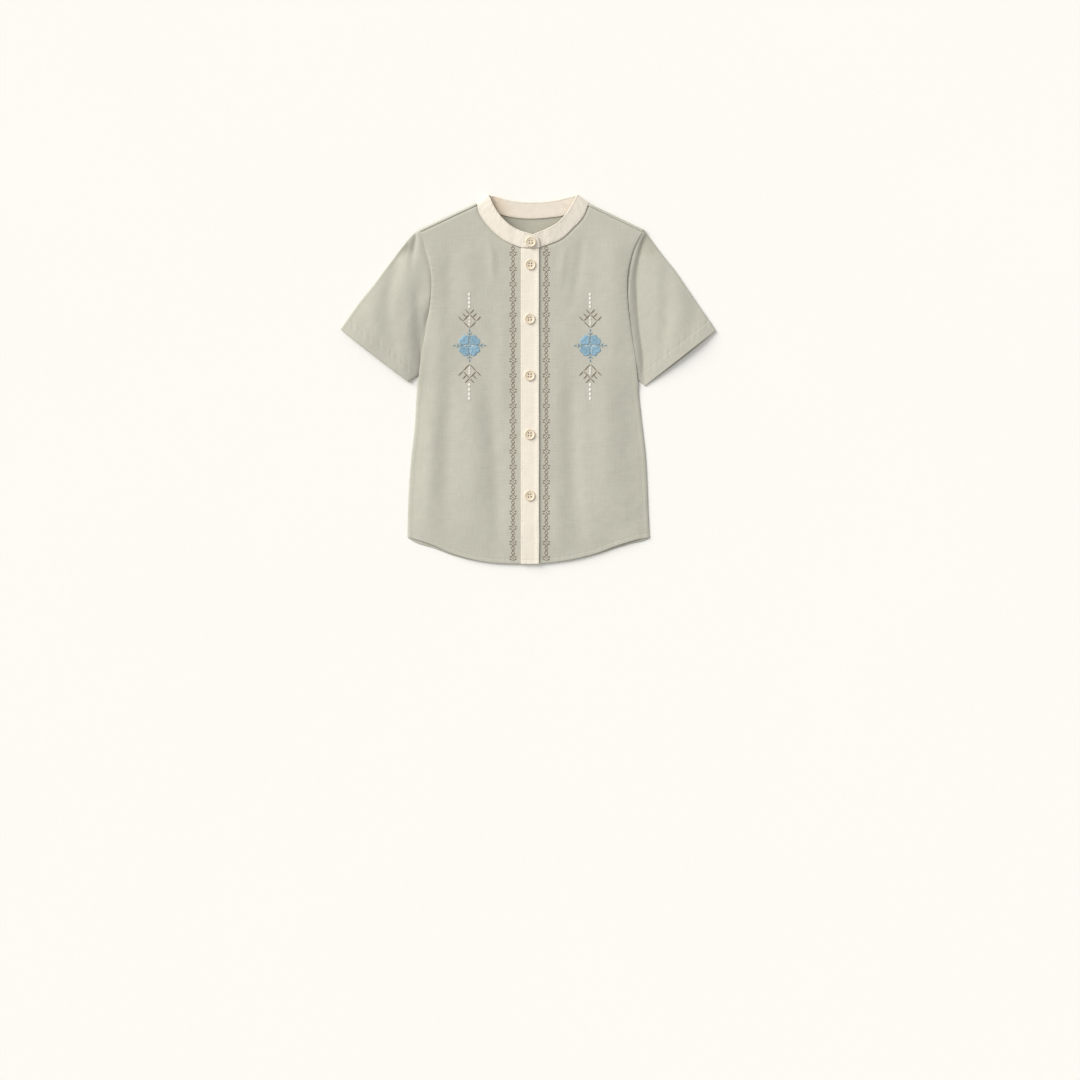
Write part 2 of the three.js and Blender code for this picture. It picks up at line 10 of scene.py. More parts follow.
import bpy
import numpy as np
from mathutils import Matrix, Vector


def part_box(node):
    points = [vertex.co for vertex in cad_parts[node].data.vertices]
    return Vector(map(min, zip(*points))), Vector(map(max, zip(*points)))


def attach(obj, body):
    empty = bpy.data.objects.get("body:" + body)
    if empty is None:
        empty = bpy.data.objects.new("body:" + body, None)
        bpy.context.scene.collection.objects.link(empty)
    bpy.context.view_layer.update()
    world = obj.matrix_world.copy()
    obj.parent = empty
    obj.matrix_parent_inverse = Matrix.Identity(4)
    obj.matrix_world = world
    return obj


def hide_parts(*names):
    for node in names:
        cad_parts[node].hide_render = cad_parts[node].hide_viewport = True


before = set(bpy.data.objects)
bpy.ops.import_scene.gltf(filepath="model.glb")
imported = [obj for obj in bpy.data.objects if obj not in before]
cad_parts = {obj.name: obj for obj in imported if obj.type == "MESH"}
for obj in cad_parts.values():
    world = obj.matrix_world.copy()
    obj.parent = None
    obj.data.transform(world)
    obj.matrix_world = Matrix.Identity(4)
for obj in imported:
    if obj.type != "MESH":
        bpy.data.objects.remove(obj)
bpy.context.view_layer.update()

bl_info = {
    "name": "Kurta, laid flat",
    "version": (1, 0, 0),
    "blender": (4, 5, 0),
    "location": "3D View > Sidebar > Kurta",
    "description": "Builds a child's short-sleeved kurta with its sewing, embroidery and buttons",
    "category": "Add Mesh",
}

MM = 0.001

# Sizes that the model and this script share, in millimetres
SEAM_GAP = 0.3
FRONT_LEVEL = 6.2
SHOULDER_RADIUS = FRONT_LEVEL / 2
CROWN_DROP = 0.4
SIDE_DROP = 4.6
CROWN_WIDTH = 52.0
HEM_DROP = 2.6
HEM_REACH = 34.0
HEM_CORNER = 60.0
EDGE_ROUND = 7.0
SLEEVE_OUTER_ROUND = 4.5
SLEEVE_INNER_ROUND = 3.4
COLLAR_RISE = 0.13
PLACKET_LEFT, PLACKET_RIGHT, PLACKET_TOP = -11.6, 15.4, 197.1
STAND_LEFT, STAND_RIGHT = -9.2, 13.2
BUTTONS = [(3.1, 206.0), (2.6, 172.2), (1.6, 91.1), (1.6, 6.2), (1.6, -81.9), (1.6, -173.7)]
NECK_SHARE = 0.26
ARMHOLE_SHARE = 0.4
HEM_BEND_SHARE = 0.7

# How far a piece runs on under its neighbour at a seam
NECK_TUCK = 3.0
SHOULDER_TUCK = 1.6
SLEEVE_TUCK = 2.6
COLLAR_LAP = 0.5

SIDES = {
    "right": {
        "outward": -1,
        "neck": [
            (-77.8, 262.5), (-74.8, 250.5), (-68, 238.5), (-59.3, 227.7),
            (-47.9, 216.3), (-34.6, 207), (-21.2, 201), (STAND_LEFT - SEAM_GAP, 197.3),
        ],
        "armhole": [
            (-162, 222.8), (-153.3, 190), (-146.6, 162.5), (-145.6, 143.6),
            (-148.3, 109), (-152.9, 85), (-155.6, 67.5),
        ],
        "side": [
            (-155.6, 67.5), (-160.4, 42), (-164.6, 7.5), (-168.2, -22), (-170.6, -66),
            (-176.6, -120), (-180.6, -180), (-182, -236.3),
        ],
        "sleeve_fold": [
            (-164, 225.2), (-175, 216), (-190, 198), (-215.6, 165), (-233.6, 141), (-253, 117),
            (-282.4, 76),
        ],
        "sleeve_inner": [(-156.2, 66.5), (-161.4, 42), (-165.6, 10), (-179.3, -3.8)],
    },
    "left": {
        "outward": 1,
        "neck": [
            (89.3, 261.8), (86.2, 252), (80.9, 241.8), (65.5, 225),
            (50.2, 211), (34.9, 203.6), (STAND_RIGHT + SEAM_GAP, 197.3),
        ],
        "armhole": [
            (170.2, 222.8), (156.4, 193.5), (148.7, 160.8), (147.4, 136.7),
            (148.7, 112.5), (152.2, 81.6), (155, 62),
        ],
        "side": [
            (155, 62), (159.4, 36), (163.3, 0), (166, -30), (170, -66),
            (175.9, -120), (179.2, -192), (181.3, -237),
        ],
        "sleeve_fold": [
            (172.4, 225.2), (183.4, 210), (201.4, 186), (218, 165), (234.4, 141), (251, 117),
            (280.4, 74),
        ],
        "sleeve_inner": [(155.6, 61), (160.5, 36), (164.4, 2), (173.6, -9.3)],
    },
}

# Hems and the neck edge of the back; rows are x, y from the right side to the left side
FRONT_HEM = [
    (-182, -236.3), (-168, -239.6), (-143, -248), (-118, -259.2), (-94, -267), (-69, -272.4),
    (-44, -275), (-12, -275.8), (15, -275.6), (56, -271), (80.5, -266), (105, -259), (130, -249.5),
    (155, -241.5), (170, -238), (181.3, -237),
]
BACK_HEM = [
    (-182, -236.3), (-169.3, -243.9), (-143, -252), (-118, -261.4), (-94, -268.4), (-69, -272.8),
    (-44, -275), (-12, -275.8), (15, -275.6), (56, -271.4), (80.5, -267), (105, -260.6), (130, -252.5),
    (155, -245), (171, -241.6), (181.3, -237),
]
BACK_NECK = [
    (-77.8, 262.5), (-62, 255), (-44, 248), (-31, 244.5), (-18, 242.4), (-1, 241),
    (16, 241.8), (35, 243.2), (54.4, 246.5), (72, 253.5), (89.3, 261.8),
]

# Sections of the collar from its upper end round the neck to its lower end: the lower edge on the
# neckline, the height of the outer face there, and the free edge
COLLAR_SECTIONS = [
    # seam x, seam y, z, edge x, edge y
    (16.7, 198.0, 8.9, 15.2, 209.4),
    (13.2, 197.6, 8.9, 12.6, 213.4),
    (7.4, 197.5, 8.9, 6.6, 216.6),
    (-1.0, 197.5, 8.8, -2.0, 219.6),
    (-10.4, 197.9, 8.1, -11.4, 222.4),
    (-21.0, 201.4, 6.9, -24.5, 229.0),
    (-34.3, 207.5, 6.4, -34.6, 237.0),
    (-47.5, 216.7, 6.4, -43.9, 247.0),
    (-58.9, 228.0, 6.4, -50.6, 257.0),
    (-67.6, 238.8, 6.4, -54.8, 265.5),
    (-74.3, 250.6, 6.4, -57.4, 271.6),
    (-76.9, 261.2, 6.1, -59.2, 275.0),
    (-78.3, 265.6, 3.3, -60.3, 278.1),
    (-76.0, 263.2, 0.6, -57.8, 276.6),
    (-66.0, 258.0, 0.3, -50.0, 274.9),
    (-44.0, 248.5, 0.3, -34.6, 270.6),
    (-20.0, 243.0, 0.3, -14.0, 267.4),
    (3.0, 241.6, 0.3, 5.6, 266.6),
    (28.0, 243.0, 0.3, 25.0, 267.4),
    (54.4, 247.0, 0.3, 46.0, 270.6),
    (77.6, 257.2, 0.3, 62.6, 274.9),
    (87.4, 262.6, 0.6, 70.4, 276.6),
    (90.0, 264.9, 3.3, 72.7, 278.1),
    (88.2, 260.4, 6.1, 71.0, 274.8),
    (85.2, 251.9, 6.4, 67.4, 267.4),
    (80.1, 242.1, 6.4, 60.6, 255.6),
    (64.8, 225.6, 6.4, 52.8, 244.8),
    (49.8, 211.7, 6.4, 42.3, 234.2),
    (34.6, 204.4, 6.4, 27.2, 226.0),
    (25.2, 201.2, 6.4, 19.6, 222.8),
    (16.6, 198.6, 6.4, 12.2, 219.8),
    (8.0, 197.5, 6.4, 4.4, 216.6),
    (-1.0, 197.5, 6.4, -3.6, 213.4),
    (-7.2, 197.8, 6.4, -7.4, 209.4),
]

# Folds: soft ridges (rise above 0) and troughs (rise below 0) along bowed lines
FRONT_FOLDS = [
    # x0, y0, x1, y1, bow, width, rise
    (-125, 232, -122, 70, 4, 11, -0.7),
    (-119, 40, -122, -260, -4, 16, -2.2),
    (-92, 212, -88, 100, 0, 15, 0.9),
    (-86, 20, -84, -240, 3, 15, 1.3),
    (-62, 232, -53, 140, 2, 6, 1.0),
    (-62, 0, -48, -290, 6, 13, -1.9),
    (-150, 214, -149, 80, 3, 8, 0.9),
    (-148, -30, -156, -250, 3, 12, 0.8),
    (-70, 110, -44, 40, 4, 9, -0.6),
    (-40, 120, -38, -80, -3, 10, 0.5),
    (80, 232, 62, 100, 4, 8, -0.9),
    (56, 222, 46, 130, 0, 6, 0.7),
    (66, 30, 82, -280, -8, 14, -2.1),
    (113, 50, 118, -230, 0, 16, 1.3),
    (40, 90, 44, -90, 3, 14, 0.6),
    (148, 20, 162, -240, -3, 12, -0.7),
    (133, 268, 130, 10, -3, 23, 2.9),
    (-136, 240, -143, -200, 4, 14, 1.2),
    (40, -150, 46, -300, 2, 10, 0.8),
]
SLEEVE_FOLDS = {
    "right": [
        (-157, 256, -176, 160, -5, 5.5, -1.9),
        (-180, 226, -214, 60, -9, 11.0, -2.0),
        (-166, 150, -162, 20, -2, 9.0, -1.8),
        (-238, 150, -224, 40, 0, 13, 0.6),
        (-210, 100, -198, 20, 2, 9, -0.7),
    ],
    "left": [
        (206, 190, 200, 20, 3, 10, -0.9),
        (230, 165, 218, 40, 0, 13, 0.6),
        (254, 130, 236, 40, 0, 10, -0.6),
    ],
}

# Heights of a sleeve: how low its trough beside the body lies, and how far its top stands above the front
VALLEY_LEVEL = 1.3
SLEEVE_PUFF = 0.6

# The left sleeve falls from the body down a flank; rows are y and the flank's width there. The right
# sleeve has none
SLEEVE_FLANK = {
    "right": None,
    "left": [(0.0, 9.0), (40.0, 11.5), (128.0, 14.0), (190.0, 11.5), (225.0, 5.0)],
}

# How far the under layer of each sleeve shows past the upper one, at most
SLEEVE_UNDER_REACH = {"right": 0.7, "left": 2.3}


class KurtaCloth(bpy.types.PropertyGroup):
    """Sizes and colours of the cloth and its sewing."""

    thickness: bpy.props.FloatProperty(
        name="Cloth thickness", description="Thickness of one layer of the sage cloth",
        default=0.7 * MM, min=0.0, unit="LENGTH", subtype="DISTANCE")
    collar_thickness: bpy.props.FloatProperty(
        name="Band thickness", description="Thickness of the doubled collar and placket",
        default=1.5 * MM, min=0.0, unit="LENGTH", subtype="DISTANCE")
    hem_width: bpy.props.FloatProperty(
        name="Hem width", description="Width of the turned hem of the body",
        default=6.5 * MM, min=0.0, unit="LENGTH", subtype="DISTANCE")
    sleeve_hem: bpy.props.FloatProperty(
        name="Sleeve hem width", description="Width of the turned hems of the sleeves",
        default=18.0 * MM, min=0.0, unit="LENGTH", subtype="DISTANCE")
    fold_depth: bpy.props.FloatProperty(
        name="Fold depth", description="Depth of the soft folds, as a share of their own heights",
        default=1.0, min=0.0, subtype="FACTOR")
    sage: bpy.props.FloatVectorProperty(
        name="Sage", description="Colour of the body and the sleeves",
        default=(0.520, 0.508, 0.432), min=0.0, max=1.0, size=3, subtype="COLOR")
    cream: bpy.props.FloatVectorProperty(
        name="Cream", description="Colour of the collar and the placket",
        default=(0.845, 0.780, 0.680), min=0.0, max=1.0, size=3, subtype="COLOR")


class KurtaSewing(bpy.types.PropertyGroup):
    """Sizes and colours of the threads."""

    stitch_length: bpy.props.FloatProperty(
        name="Stitch length", description="Length of one topstitch",
        default=2.6 * MM, min=0.0, unit="LENGTH", subtype="DISTANCE")
    sewing_thread: bpy.props.FloatProperty(
        name="Sewing thread", description="Radius of the sewing thread",
        default=0.22 * MM, min=0.0, unit="LENGTH", subtype="DISTANCE")
    embroidery_thread: bpy.props.FloatProperty(
        name="Embroidery thread", description="Radius of the stranded embroidery thread",
        default=0.46 * MM, min=0.0, unit="LENGTH", subtype="DISTANCE")
    brown: bpy.props.FloatVectorProperty(
        name="Brown thread", description="Colour of the diamonds and the strips",
        default=(0.215, 0.142, 0.072), min=0.0, max=1.0, size=3, subtype="COLOR")
    blue: bpy.props.FloatVectorProperty(
        name="Blue thread", description="Colour of the flowers",
        default=(0.322, 0.512, 0.635), min=0.0, max=1.0, size=3, subtype="COLOR")
    slate: bpy.props.FloatVectorProperty(
        name="Slate thread", description="Colour of the sprigs between the petals",
        default=(0.225, 0.375, 0.465), min=0.0, max=1.0, size=3, subtype="COLOR")
    white: bpy.props.FloatVectorProperty(
        name="White thread", description="Colour of the dots",
        default=(0.930, 0.905, 0.830), min=0.0, max=1.0, size=3, subtype="COLOR")


class KurtaButtons(bpy.types.PropertyGroup):
    """Sizes and colour of the buttons."""

    diameter: bpy.props.FloatProperty(
        name="Diameter", description="Diameter of a button",
        default=15.5 * MM, min=0.0, unit="LENGTH", subtype="DISTANCE")
    thickness: bpy.props.FloatProperty(
        name="Thickness", description="Thickness of a button at its rim",
        default=2.3 * MM, min=0.0, unit="LENGTH", subtype="DISTANCE")
    hole: bpy.props.FloatProperty(
        name="Hole", description="Diameter of each of the four holes",
        default=2.2 * MM, min=0.0, unit="LENGTH", subtype="DISTANCE")
    hole_spacing: bpy.props.FloatProperty(
        name="Hole spacing", description="Distance between neighbouring holes",
        default=3.9 * MM, min=0.0, unit="LENGTH", subtype="DISTANCE")
    # Painted shade: this dark colour goes on thread dots under the holes so that the holes read as shaded
    hole_shade: bpy.props.FloatVectorProperty(
        name="Shank thread", description="Colour of the wound thread that shows down in the holes",
        default=(0.200, 0.140, 0.090), size=3, min=0.0, max=1.0, subtype="COLOR")
    colour: bpy.props.FloatVectorProperty(
        name="Resin", description="Colour of the buttons",
        default=(0.800, 0.690, 0.530), min=0.0, max=1.0, size=3, subtype="COLOR")


class KurtaStage(bpy.types.PropertyGroup):
    """Floor, lights and camera."""

    view_width: bpy.props.FloatProperty(
        name="View width", description="Width of the surface that the camera sees",
        default=1.62, min=0.1, unit="LENGTH", subtype="DISTANCE")
    lens: bpy.props.FloatProperty(
        name="Lens", description="Focal length of the camera, in millimetres",
        default=85.0, min=10.0)
    sun_height: bpy.props.FloatProperty(
        name="Key height", description="Height of the key light above the horizon",
        default=math.radians(28.0), subtype="ANGLE", unit="ROTATION")
    sun_strength: bpy.props.FloatProperty(
        name="Key strength", description="Strength of the key light", default=3.5, min=0.0)
    sky_strength: bpy.props.FloatProperty(
        name="Fill strength", description="Strength of the light from all round",
        default=0.54, min=0.0)
    floor: bpy.props.FloatVectorProperty(
        name="Floor", description="Colour of the floor",
        default=(0.930, 0.920, 0.885), min=0.0, max=1.0, size=3, subtype="COLOR")


# ---------------------------------------------------------------- arithmetic on whole arrays


def smooth(low, high, value):
    """0 up to low, 1 from high on, and between them share^2 * (3 - 2 share)."""
    share = np.clip((np.asarray(value, float) - low) / (high - low), 0.0, 1.0)
    return share * share * (3.0 - 2.0 * share)


def mix(low, high, share):
    """The value at a share of the way from low to high."""
    return low + (high - low) * share


def bell(value, width):
    """exp(-(value / width)^2)."""
    return np.exp(-((value / width) ** 2))


def unit(vectors):
    """Vectors at length 1."""
    return vectors / np.maximum(np.linalg.norm(vectors, axis=-1, keepdims=True), 1e-12)


def spans(*stretches):
    """Values along stretches of (from, to, count), each without its end, and then the last end."""
    parts = [np.linspace(low, high, count, endpoint=False) for low, high, count in stretches]
    return np.concatenate(parts + [[stretches[-1][1]]])


def curve_at(rows, share):
    """A smooth curve through rows at shares of its number of spans: a centripetal Catmull-Rom cubic.

    Each span is the cubic with tangents taken from its neighbours at knots set the square root of the
    distance apart. Past its ends the curve takes its first and last points mirrored.
    """
    rows = np.asarray(rows, float)
    whole = np.vstack([2 * rows[0] - rows[1], rows, 2 * rows[-1] - rows[-2]])
    place = np.clip(np.asarray(share, float), 0.0, 1.0) * (len(rows) - 1)
    span = np.minimum(place.astype(int), len(rows) - 2)
    t = (place - span)[..., None]
    before, start, end, after = (whole[span + k] for k in range(4))

    def knot(one, other):
        return np.linalg.norm(other - one, axis=-1, keepdims=True) ** 0.5

    first, middle, last = knot(before, start), knot(start, end), knot(end, after)
    leave = (start - before) / first - (end - before) / (first + middle) + (end - start) / middle
    arrive = (end - start) / middle - (after - start) / (middle + last) + (after - end) / last
    leave, arrive = leave * middle, arrive * middle
    square = -3 * start + 3 * end - 2 * leave - arrive
    cube = 2 * start - 2 * end + leave + arrive
    return start + t * (leave + t * (square + t * cube))


def along(rows, share):
    """The same curve, read at shares of its length."""
    dense = curve_at(rows, np.linspace(0.0, 1.0, 40 * (len(rows) - 1) + 1))
    return read_line(dense, share)


def read_line(line, share):
    """Points at shares of the length of a line of straight steps."""
    length = line_lengths(line)
    place = np.asarray(share, float) * length[-1]
    return np.stack([np.interp(place, length, line[:, k]) for k in range(line.shape[1])], -1)


def line_lengths(line):
    """Length along a line from its start to each of its points."""
    return np.concatenate([[0.0], np.cumsum(np.linalg.norm(np.diff(line, axis=0), axis=1))])


def moved_line(line, distance):
    """A plan line moved sideways: each point plus distance times the normal to the left of travel."""
    travel = unit(np.gradient(line, axis=0))
    return line + distance * np.stack([-travel[:, 1], travel[:, 0]], -1)


def distance_to(line, points):
    """Distance in plan from each point to the nearest place on a line."""
    nearest = np.full(points.shape[:-1], np.inf)
    for start, end in zip(line[:-1], line[1:]):
        step = end - start
        share = np.clip(((points - start) @ step) / (step @ step), 0.0, 1.0)
        gap = np.linalg.norm(points - start - share[..., None] * step, axis=-1)
        nearest = np.minimum(nearest, gap)
    return nearest


def fold_rise(folds, points):
    """Sum over the folds of rise * exp(-(distance to the bowed line / width)^2), faded at both ends."""
    x, y = points[..., 0], points[..., 1]
    total = np.zeros(x.shape)
    for x0, y0, x1, y1, bow, width, rise in folds:
        dx, dy = x1 - x0, y1 - y0
        length = math.hypot(dx, dy)
        place = ((x - x0) * dx + (y - y0) * dy) / length**2
        fade = smooth(-0.05, 0.3, place) * smooth(1.05, 0.6, place)
        share = np.clip(place, 0.0, 1.0)
        offset = bow * 4.0 * share * (1.0 - share)
        fold_x = x0 + dx * share - offset * dy / length
        fold_y = y0 + dy * share + offset * dx / length
        total += rise * fade * np.exp(-((x - fold_x) ** 2 + (y - fold_y) ** 2) / width**2)
    return total


def soft_noise(points, size, seed):
    """Smooth noise from -1 to 1: random values on a square net of that size, joined by smooth steps."""
    values = np.random.default_rng(seed).uniform(-1.0, 1.0, (64, 64))
    place = points / size
    cell = np.floor(place).astype(int)
    share = place - cell
    share = share * share * (3.0 - 2.0 * share)
    corner = [
        [values[(cell[..., 0] + i) % 64, (cell[..., 1] + j) % 64] for j in (0, 1)] for i in (0, 1)
    ]
    low = mix(corner[0][0], corner[1][0], share[..., 0])
    high = mix(corner[0][1], corner[1][1], share[..., 0])
    return mix(low, high, share[..., 1])


def puckers(distance, place, reach, height):
    """Small uneven ripples beside a seam: three sines along it that fade with the distance from it."""
    wave = np.sin(place / 1.3) + 0.7 * np.sin(place / 2.17 + 1.1) + 0.6 * np.sin(place / 0.83 + 2.3)
    return height * wave * bell(distance, reach) / 2.3


# ---------------------------------------------------------------- outlines

button_low, button_high = (np.array(corner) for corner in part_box("button_2"))
PLAN_ORIGIN = (button_low + button_high)[:2] / 2 / MM - BUTTONS[1]
NET = np.linspace(0.0, 1.0, 121)
FRONT_HEM_LINE = along(FRONT_HEM, NET)
BACK_HEM_LINE = along(BACK_HEM, NET)
BACK_NECK_LINE = along(BACK_NECK, NET)

for name, side in SIDES.items():
    inward = -side["outward"]
    side["neck_line"] = along(side["neck"], NET)
    side["armhole_line"] = along(side["armhole"], NET)
    side["side_line"] = along(side["side"], NET)
    side["outer_line"] = np.vstack([side["armhole_line"], side["side_line"][1:]])
    side["neck_tuck"] = moved_line(side["neck_line"], NECK_TUCK * inward)
    side["head_line"] = along([side["sleeve_fold"][0], *side["armhole"]], NET)
    side["folds"] = [row for row in FRONT_FOLDS if row[0] * side["outward"] > 0]
    side["sleeve_folds"] = SLEEVE_FOLDS[name]
    side["hem_reach"] = SLEEVE_UNDER_REACH[name]
    side["flank"] = SLEEVE_FLANK[name]
    tip, neck = np.array(side["armhole"][0]), np.array(side["neck"][0])
    slope = unit(neck - tip)
    up = np.array([-slope[1], slope[0]]) * np.sign(slope[0])
    side["shoulder_up"] = up
    side["shoulder_line"] = np.stack([tip, neck])


def height_at(line, x):
    """The y of a line that runs from -X to +X, read at x."""
    return np.interp(x, line[:, 0], line[:, 1])


def outer_edge(side, v):
    """Armhole and then side seam, v from the shoulder tip (0) to the hem (1)."""
    v = np.asarray(v, float)
    armhole = read_line(side["armhole_line"], np.clip(v / ARMHOLE_SHARE, 0.0, 1.0))
    below = np.clip((v - ARMHOLE_SHARE) / (1.0 - ARMHOLE_SHARE), 0.0, 1.0)
    return np.where((v < ARMHOLE_SHARE)[..., None], armhole, read_line(side["side_line"], below))


def inner_edge(side, v):
    """Neck edge, run on under the collar, and then the front edge, v from the shoulder to the hem."""
    v = np.asarray(v, float)
    neck = read_line(side["neck_tuck"], np.clip(v / NECK_SHARE, 0.0, 1.0))
    top = side["neck_tuck"][-1]
    edge_x = side["neck_line"][-1, 0]
    bottom = np.array([edge_x, height_at(FRONT_HEM_LINE, edge_x)])
    below = np.clip((v - NECK_SHARE) / (1.0 - NECK_SHARE), 0.0, 1.0)[..., None]
    return np.where((v < NECK_SHARE)[..., None], neck, mix(top, bottom, below))


def hem_sink(points, from_side):
    """How far the fronts sink towards the hem, clear of its corners."""
    over = points[..., 1] - height_at(FRONT_HEM_LINE, points[..., 0])
    return HEM_DROP * bell(over, HEM_REACH) * smooth(0.0, HEM_CORNER, from_side)


# ---------------------------------------------------------------- meshes


def grid_quads(rows, columns, closed=False):
    """Corner numbers of the cells of a grid, turned so that (along a column) x (along a row) is up."""
    spans_across = columns if closed else columns - 1
    row, column = np.meshgrid(np.arange(rows - 1), np.arange(spans_across), indexing="ij")
    here = (row * columns + column).ravel()
    beside = (row * columns + (column + 1) % columns).ravel()
    return np.stack([here, here + columns, beside + columns, beside], -1)


def grid_normals(surface, closed=False):
    """Unit normals of a grid of points: the slope down a column crossed with the slope along a row."""
    if closed:
        across = (np.roll(surface, -1, axis=1) - np.roll(surface, 1, axis=1)) / 2.0
    else:
        across = np.gradient(surface, axis=1)
    return unit(np.cross(np.gradient(surface, axis=0), across))


def close_shell(quads, count):
    """Faces of a shell: the outer skin, the inner one turned over, and a rim on every open edge."""
    edges = np.concatenate([np.stack([quads[:, k], quads[:, (k + 1) % 4]], -1) for k in range(4)])
    forward = edges[:, 0] * count + edges[:, 1]
    backward = edges[:, 1] * count + edges[:, 0]
    open_edges = edges[~np.isin(forward, backward)]
    start, end = open_edges[:, 0], open_edges[:, 1]
    rims = np.stack([end, start, start + count, end + count], -1)
    return np.concatenate([quads, quads[:, ::-1] + count, rims])


def mesh_piece(name, points, faces, cloth=None, sharp=math.radians(55.0), around=None):
    """A mesh object at the origin, from points in plan millimetres and arrays of faces.

    cloth holds each point's place on the flat cloth, in millimetres, kept as a UV map in metres.
    around is the length round a closed piece of quads, added where the places start again.
    """
    faces = faces if isinstance(faces, list) else [faces]
    corners = np.concatenate([part.ravel() for part in faces])
    sizes = np.concatenate([np.full(len(part), part.shape[1]) for part in faces])
    used, corners = np.unique(corners, return_inverse=True)
    points = points.reshape(-1, 3)[used]
    mesh = bpy.data.meshes.new(name)
    mesh.vertices.add(len(points))
    mesh.loops.add(len(corners))
    mesh.polygons.add(len(sizes))
    mesh.vertices.foreach_set("co", ((points + [*PLAN_ORIGIN, 0.0]) * MM).astype(np.float32).ravel())
    mesh.loops.foreach_set("vertex_index", corners.astype(np.int32))
    mesh.polygons.foreach_set("loop_start", (np.cumsum(sizes) - sizes).astype(np.int32))
    mesh.polygons.foreach_set("use_smooth", np.ones(len(sizes), bool))
    if cloth is not None:
        layer = mesh.uv_layers.new(name="Cloth")
        places = cloth.reshape(-1, 2)[used][corners] * MM
        if around is not None:
            quads = places.reshape(-1, 4, 2)
            passed = quads[..., 0].max(axis=1, keepdims=True) - quads[..., 0] > around * MM / 2.0
            quads[..., 0] += passed * around * MM
        layer.data.foreach_set("uv", places.astype(np.float32).ravel())
    mesh.update(calc_edges=True)
    if sharp is not None:
        mesh.set_sharp_from_angle(angle=sharp)
    mesh.validate()
    piece = bpy.data.objects.new(name, mesh)
    bpy.context.scene.collection.objects.link(piece)
    return piece


def shell_piece(
        name, outer, thickness, cloth, inset=0.0, closed=False, flip=False, keep=None, around=None):
    """A shell of cloth built on its outer face, along its normals.

    The outer skin is set in by the inset, and the inner skin by the thickness less the inset.
    """
    rows, columns = outer.shape[:2]
    normals = grid_normals(outer, closed)
    quads = grid_quads(rows, columns, closed)
    if flip:
        normals, quads = -normals, quads[:, ::-1]
    if keep is not None:
        quads = quads[keep.ravel()]
    thickness, inset = (np.broadcast_to(size, (rows, columns))[..., None] for size in (thickness, inset))
    skins = [outer - normals * inset, outer - normals * (thickness - inset)]
    points = np.concatenate([skin.reshape(-1, 3) for skin in skins])
    places = np.concatenate([cloth.reshape(-1, 2)] * 2)
    return mesh_piece(name, points, close_shell(quads, rows * columns), places, around=around)


def round_edge(distance, thickness):
    """Half thickness of folded cloth near its edge: a half circle that ends at a fifth of full."""
    share = np.clip(distance / (thickness / 2.0), 0.0, 1.0)
    return thickness / 2.0 * np.maximum(np.sqrt(1.0 - (1.0 - share) ** 2), 0.2)


def lay(surface, places, step):
    """Points of a surface at places, and its unit normals from small steps to either side."""
    first = np.array([step[0], 0.0])
    second = np.array([0.0, step[1]])
    along_first = surface(places + first) - surface(places - first)
    along_second = surface(places + second) - surface(places - second)
    return surface(places), unit(np.cross(along_first, along_second))


def thread_mesh(surface, starts, ends, radius, step=(0.4, 0.4), rings=5, rise=0.5, sides=6, flip=False):
    """Points, faces and thread places of short threads laid on a surface between pairs of places.

    Each thread is a tube whose middle line runs straight between its ends in the surface's own two
    parameters and arches out of the cloth by a half sine; the tube thins to its closed ends.
    """
    share = np.linspace(0.0, 1.0, rings)
    places = starts[:, None] + (ends - starts)[:, None] * share[:, None]
    points, normals = lay(surface, places, step)
    if flip:
        normals = -normals
    radius = np.broadcast_to(radius, (len(starts),))[:, None, None]
    arch = np.sin(np.pi * share)[None, :, None]
    centres = points + normals * radius * (rise * arch**0.5 + (arch**0.5 - 1.0) * 0.5)
    travel = unit(np.gradient(centres, axis=1))
    beside = unit(np.cross(travel, normals))
    above = np.cross(beside, travel)
    turn = np.arange(sides) * 2.0 * np.pi / sides
    swell = radius * (0.45 + 0.55 * arch**0.4)
    ring = (
        centres[:, :, None]
        + (swell * beside)[:, :, None] * np.cos(turn)[:, None]
        + (swell * above)[:, :, None] * np.sin(turn)[:, None]
    )
    count = rings * sides
    base = np.arange(len(starts))[:, None, None, None] * count
    k = np.arange(rings - 1)[:, None] * sides
    s = np.arange(sides)[None]
    following = (s + 1) % sides
    cell = np.stack([k + s, k + sides + s, k + sides + following, k + following], -1)
    quads = (base + cell[None]).reshape(-1, 4)
    first_cap = np.arange(len(starts))[:, None] * count + np.arange(sides)
    last_cap = first_cap + (rings - 1) * sides
    length = np.linalg.norm(points[:, -1] - points[:, 0], axis=-1)
    cloth = np.empty((len(starts), rings, sides, 2))
    cloth[..., 0] = (length[:, None] * share)[:, :, None]
    cloth[..., 1] = np.arange(sides) / sides * 2.0 * np.pi * radius
    return ring.reshape(-1, 3), [quads, first_cap, last_cap[:, ::-1]], cloth.reshape(-1, 2)


def thread_piece(name, batches):
    """One mesh of several batches of threads."""
    points, quads, caps, places, count = [], [], [], [], 0
    for batch_points, (batch_quads, first_cap, last_cap), batch_places in batches:
        points.append(batch_points)
        places.append(batch_places)
        quads.append(batch_quads + count)
        caps.extend([first_cap + count, last_cap + count])
        count += len(batch_points)
    faces = [np.concatenate(quads), np.concatenate(caps)]
    return mesh_piece(name, np.concatenate(points), faces, np.concatenate(places), sharp=None)


def stitch_places(surface, line, length, gap):
    """Starts and ends of running stitches of a length and a gap, along a line of places on a surface."""
    reach = line_lengths(surface(line))
    count = int((reach[-1] - length) / (length + gap)) + 1
    starts = (np.arange(count) + 0.5) * reach[-1] / count - length / 2.0

    def read(distance):
        return np.stack([np.interp(distance, reach, line[:, k]) for k in range(2)], -1)

    return read(starts), read(starts + length)


# ---------------------------------------------------------------- surfaces of the cloth


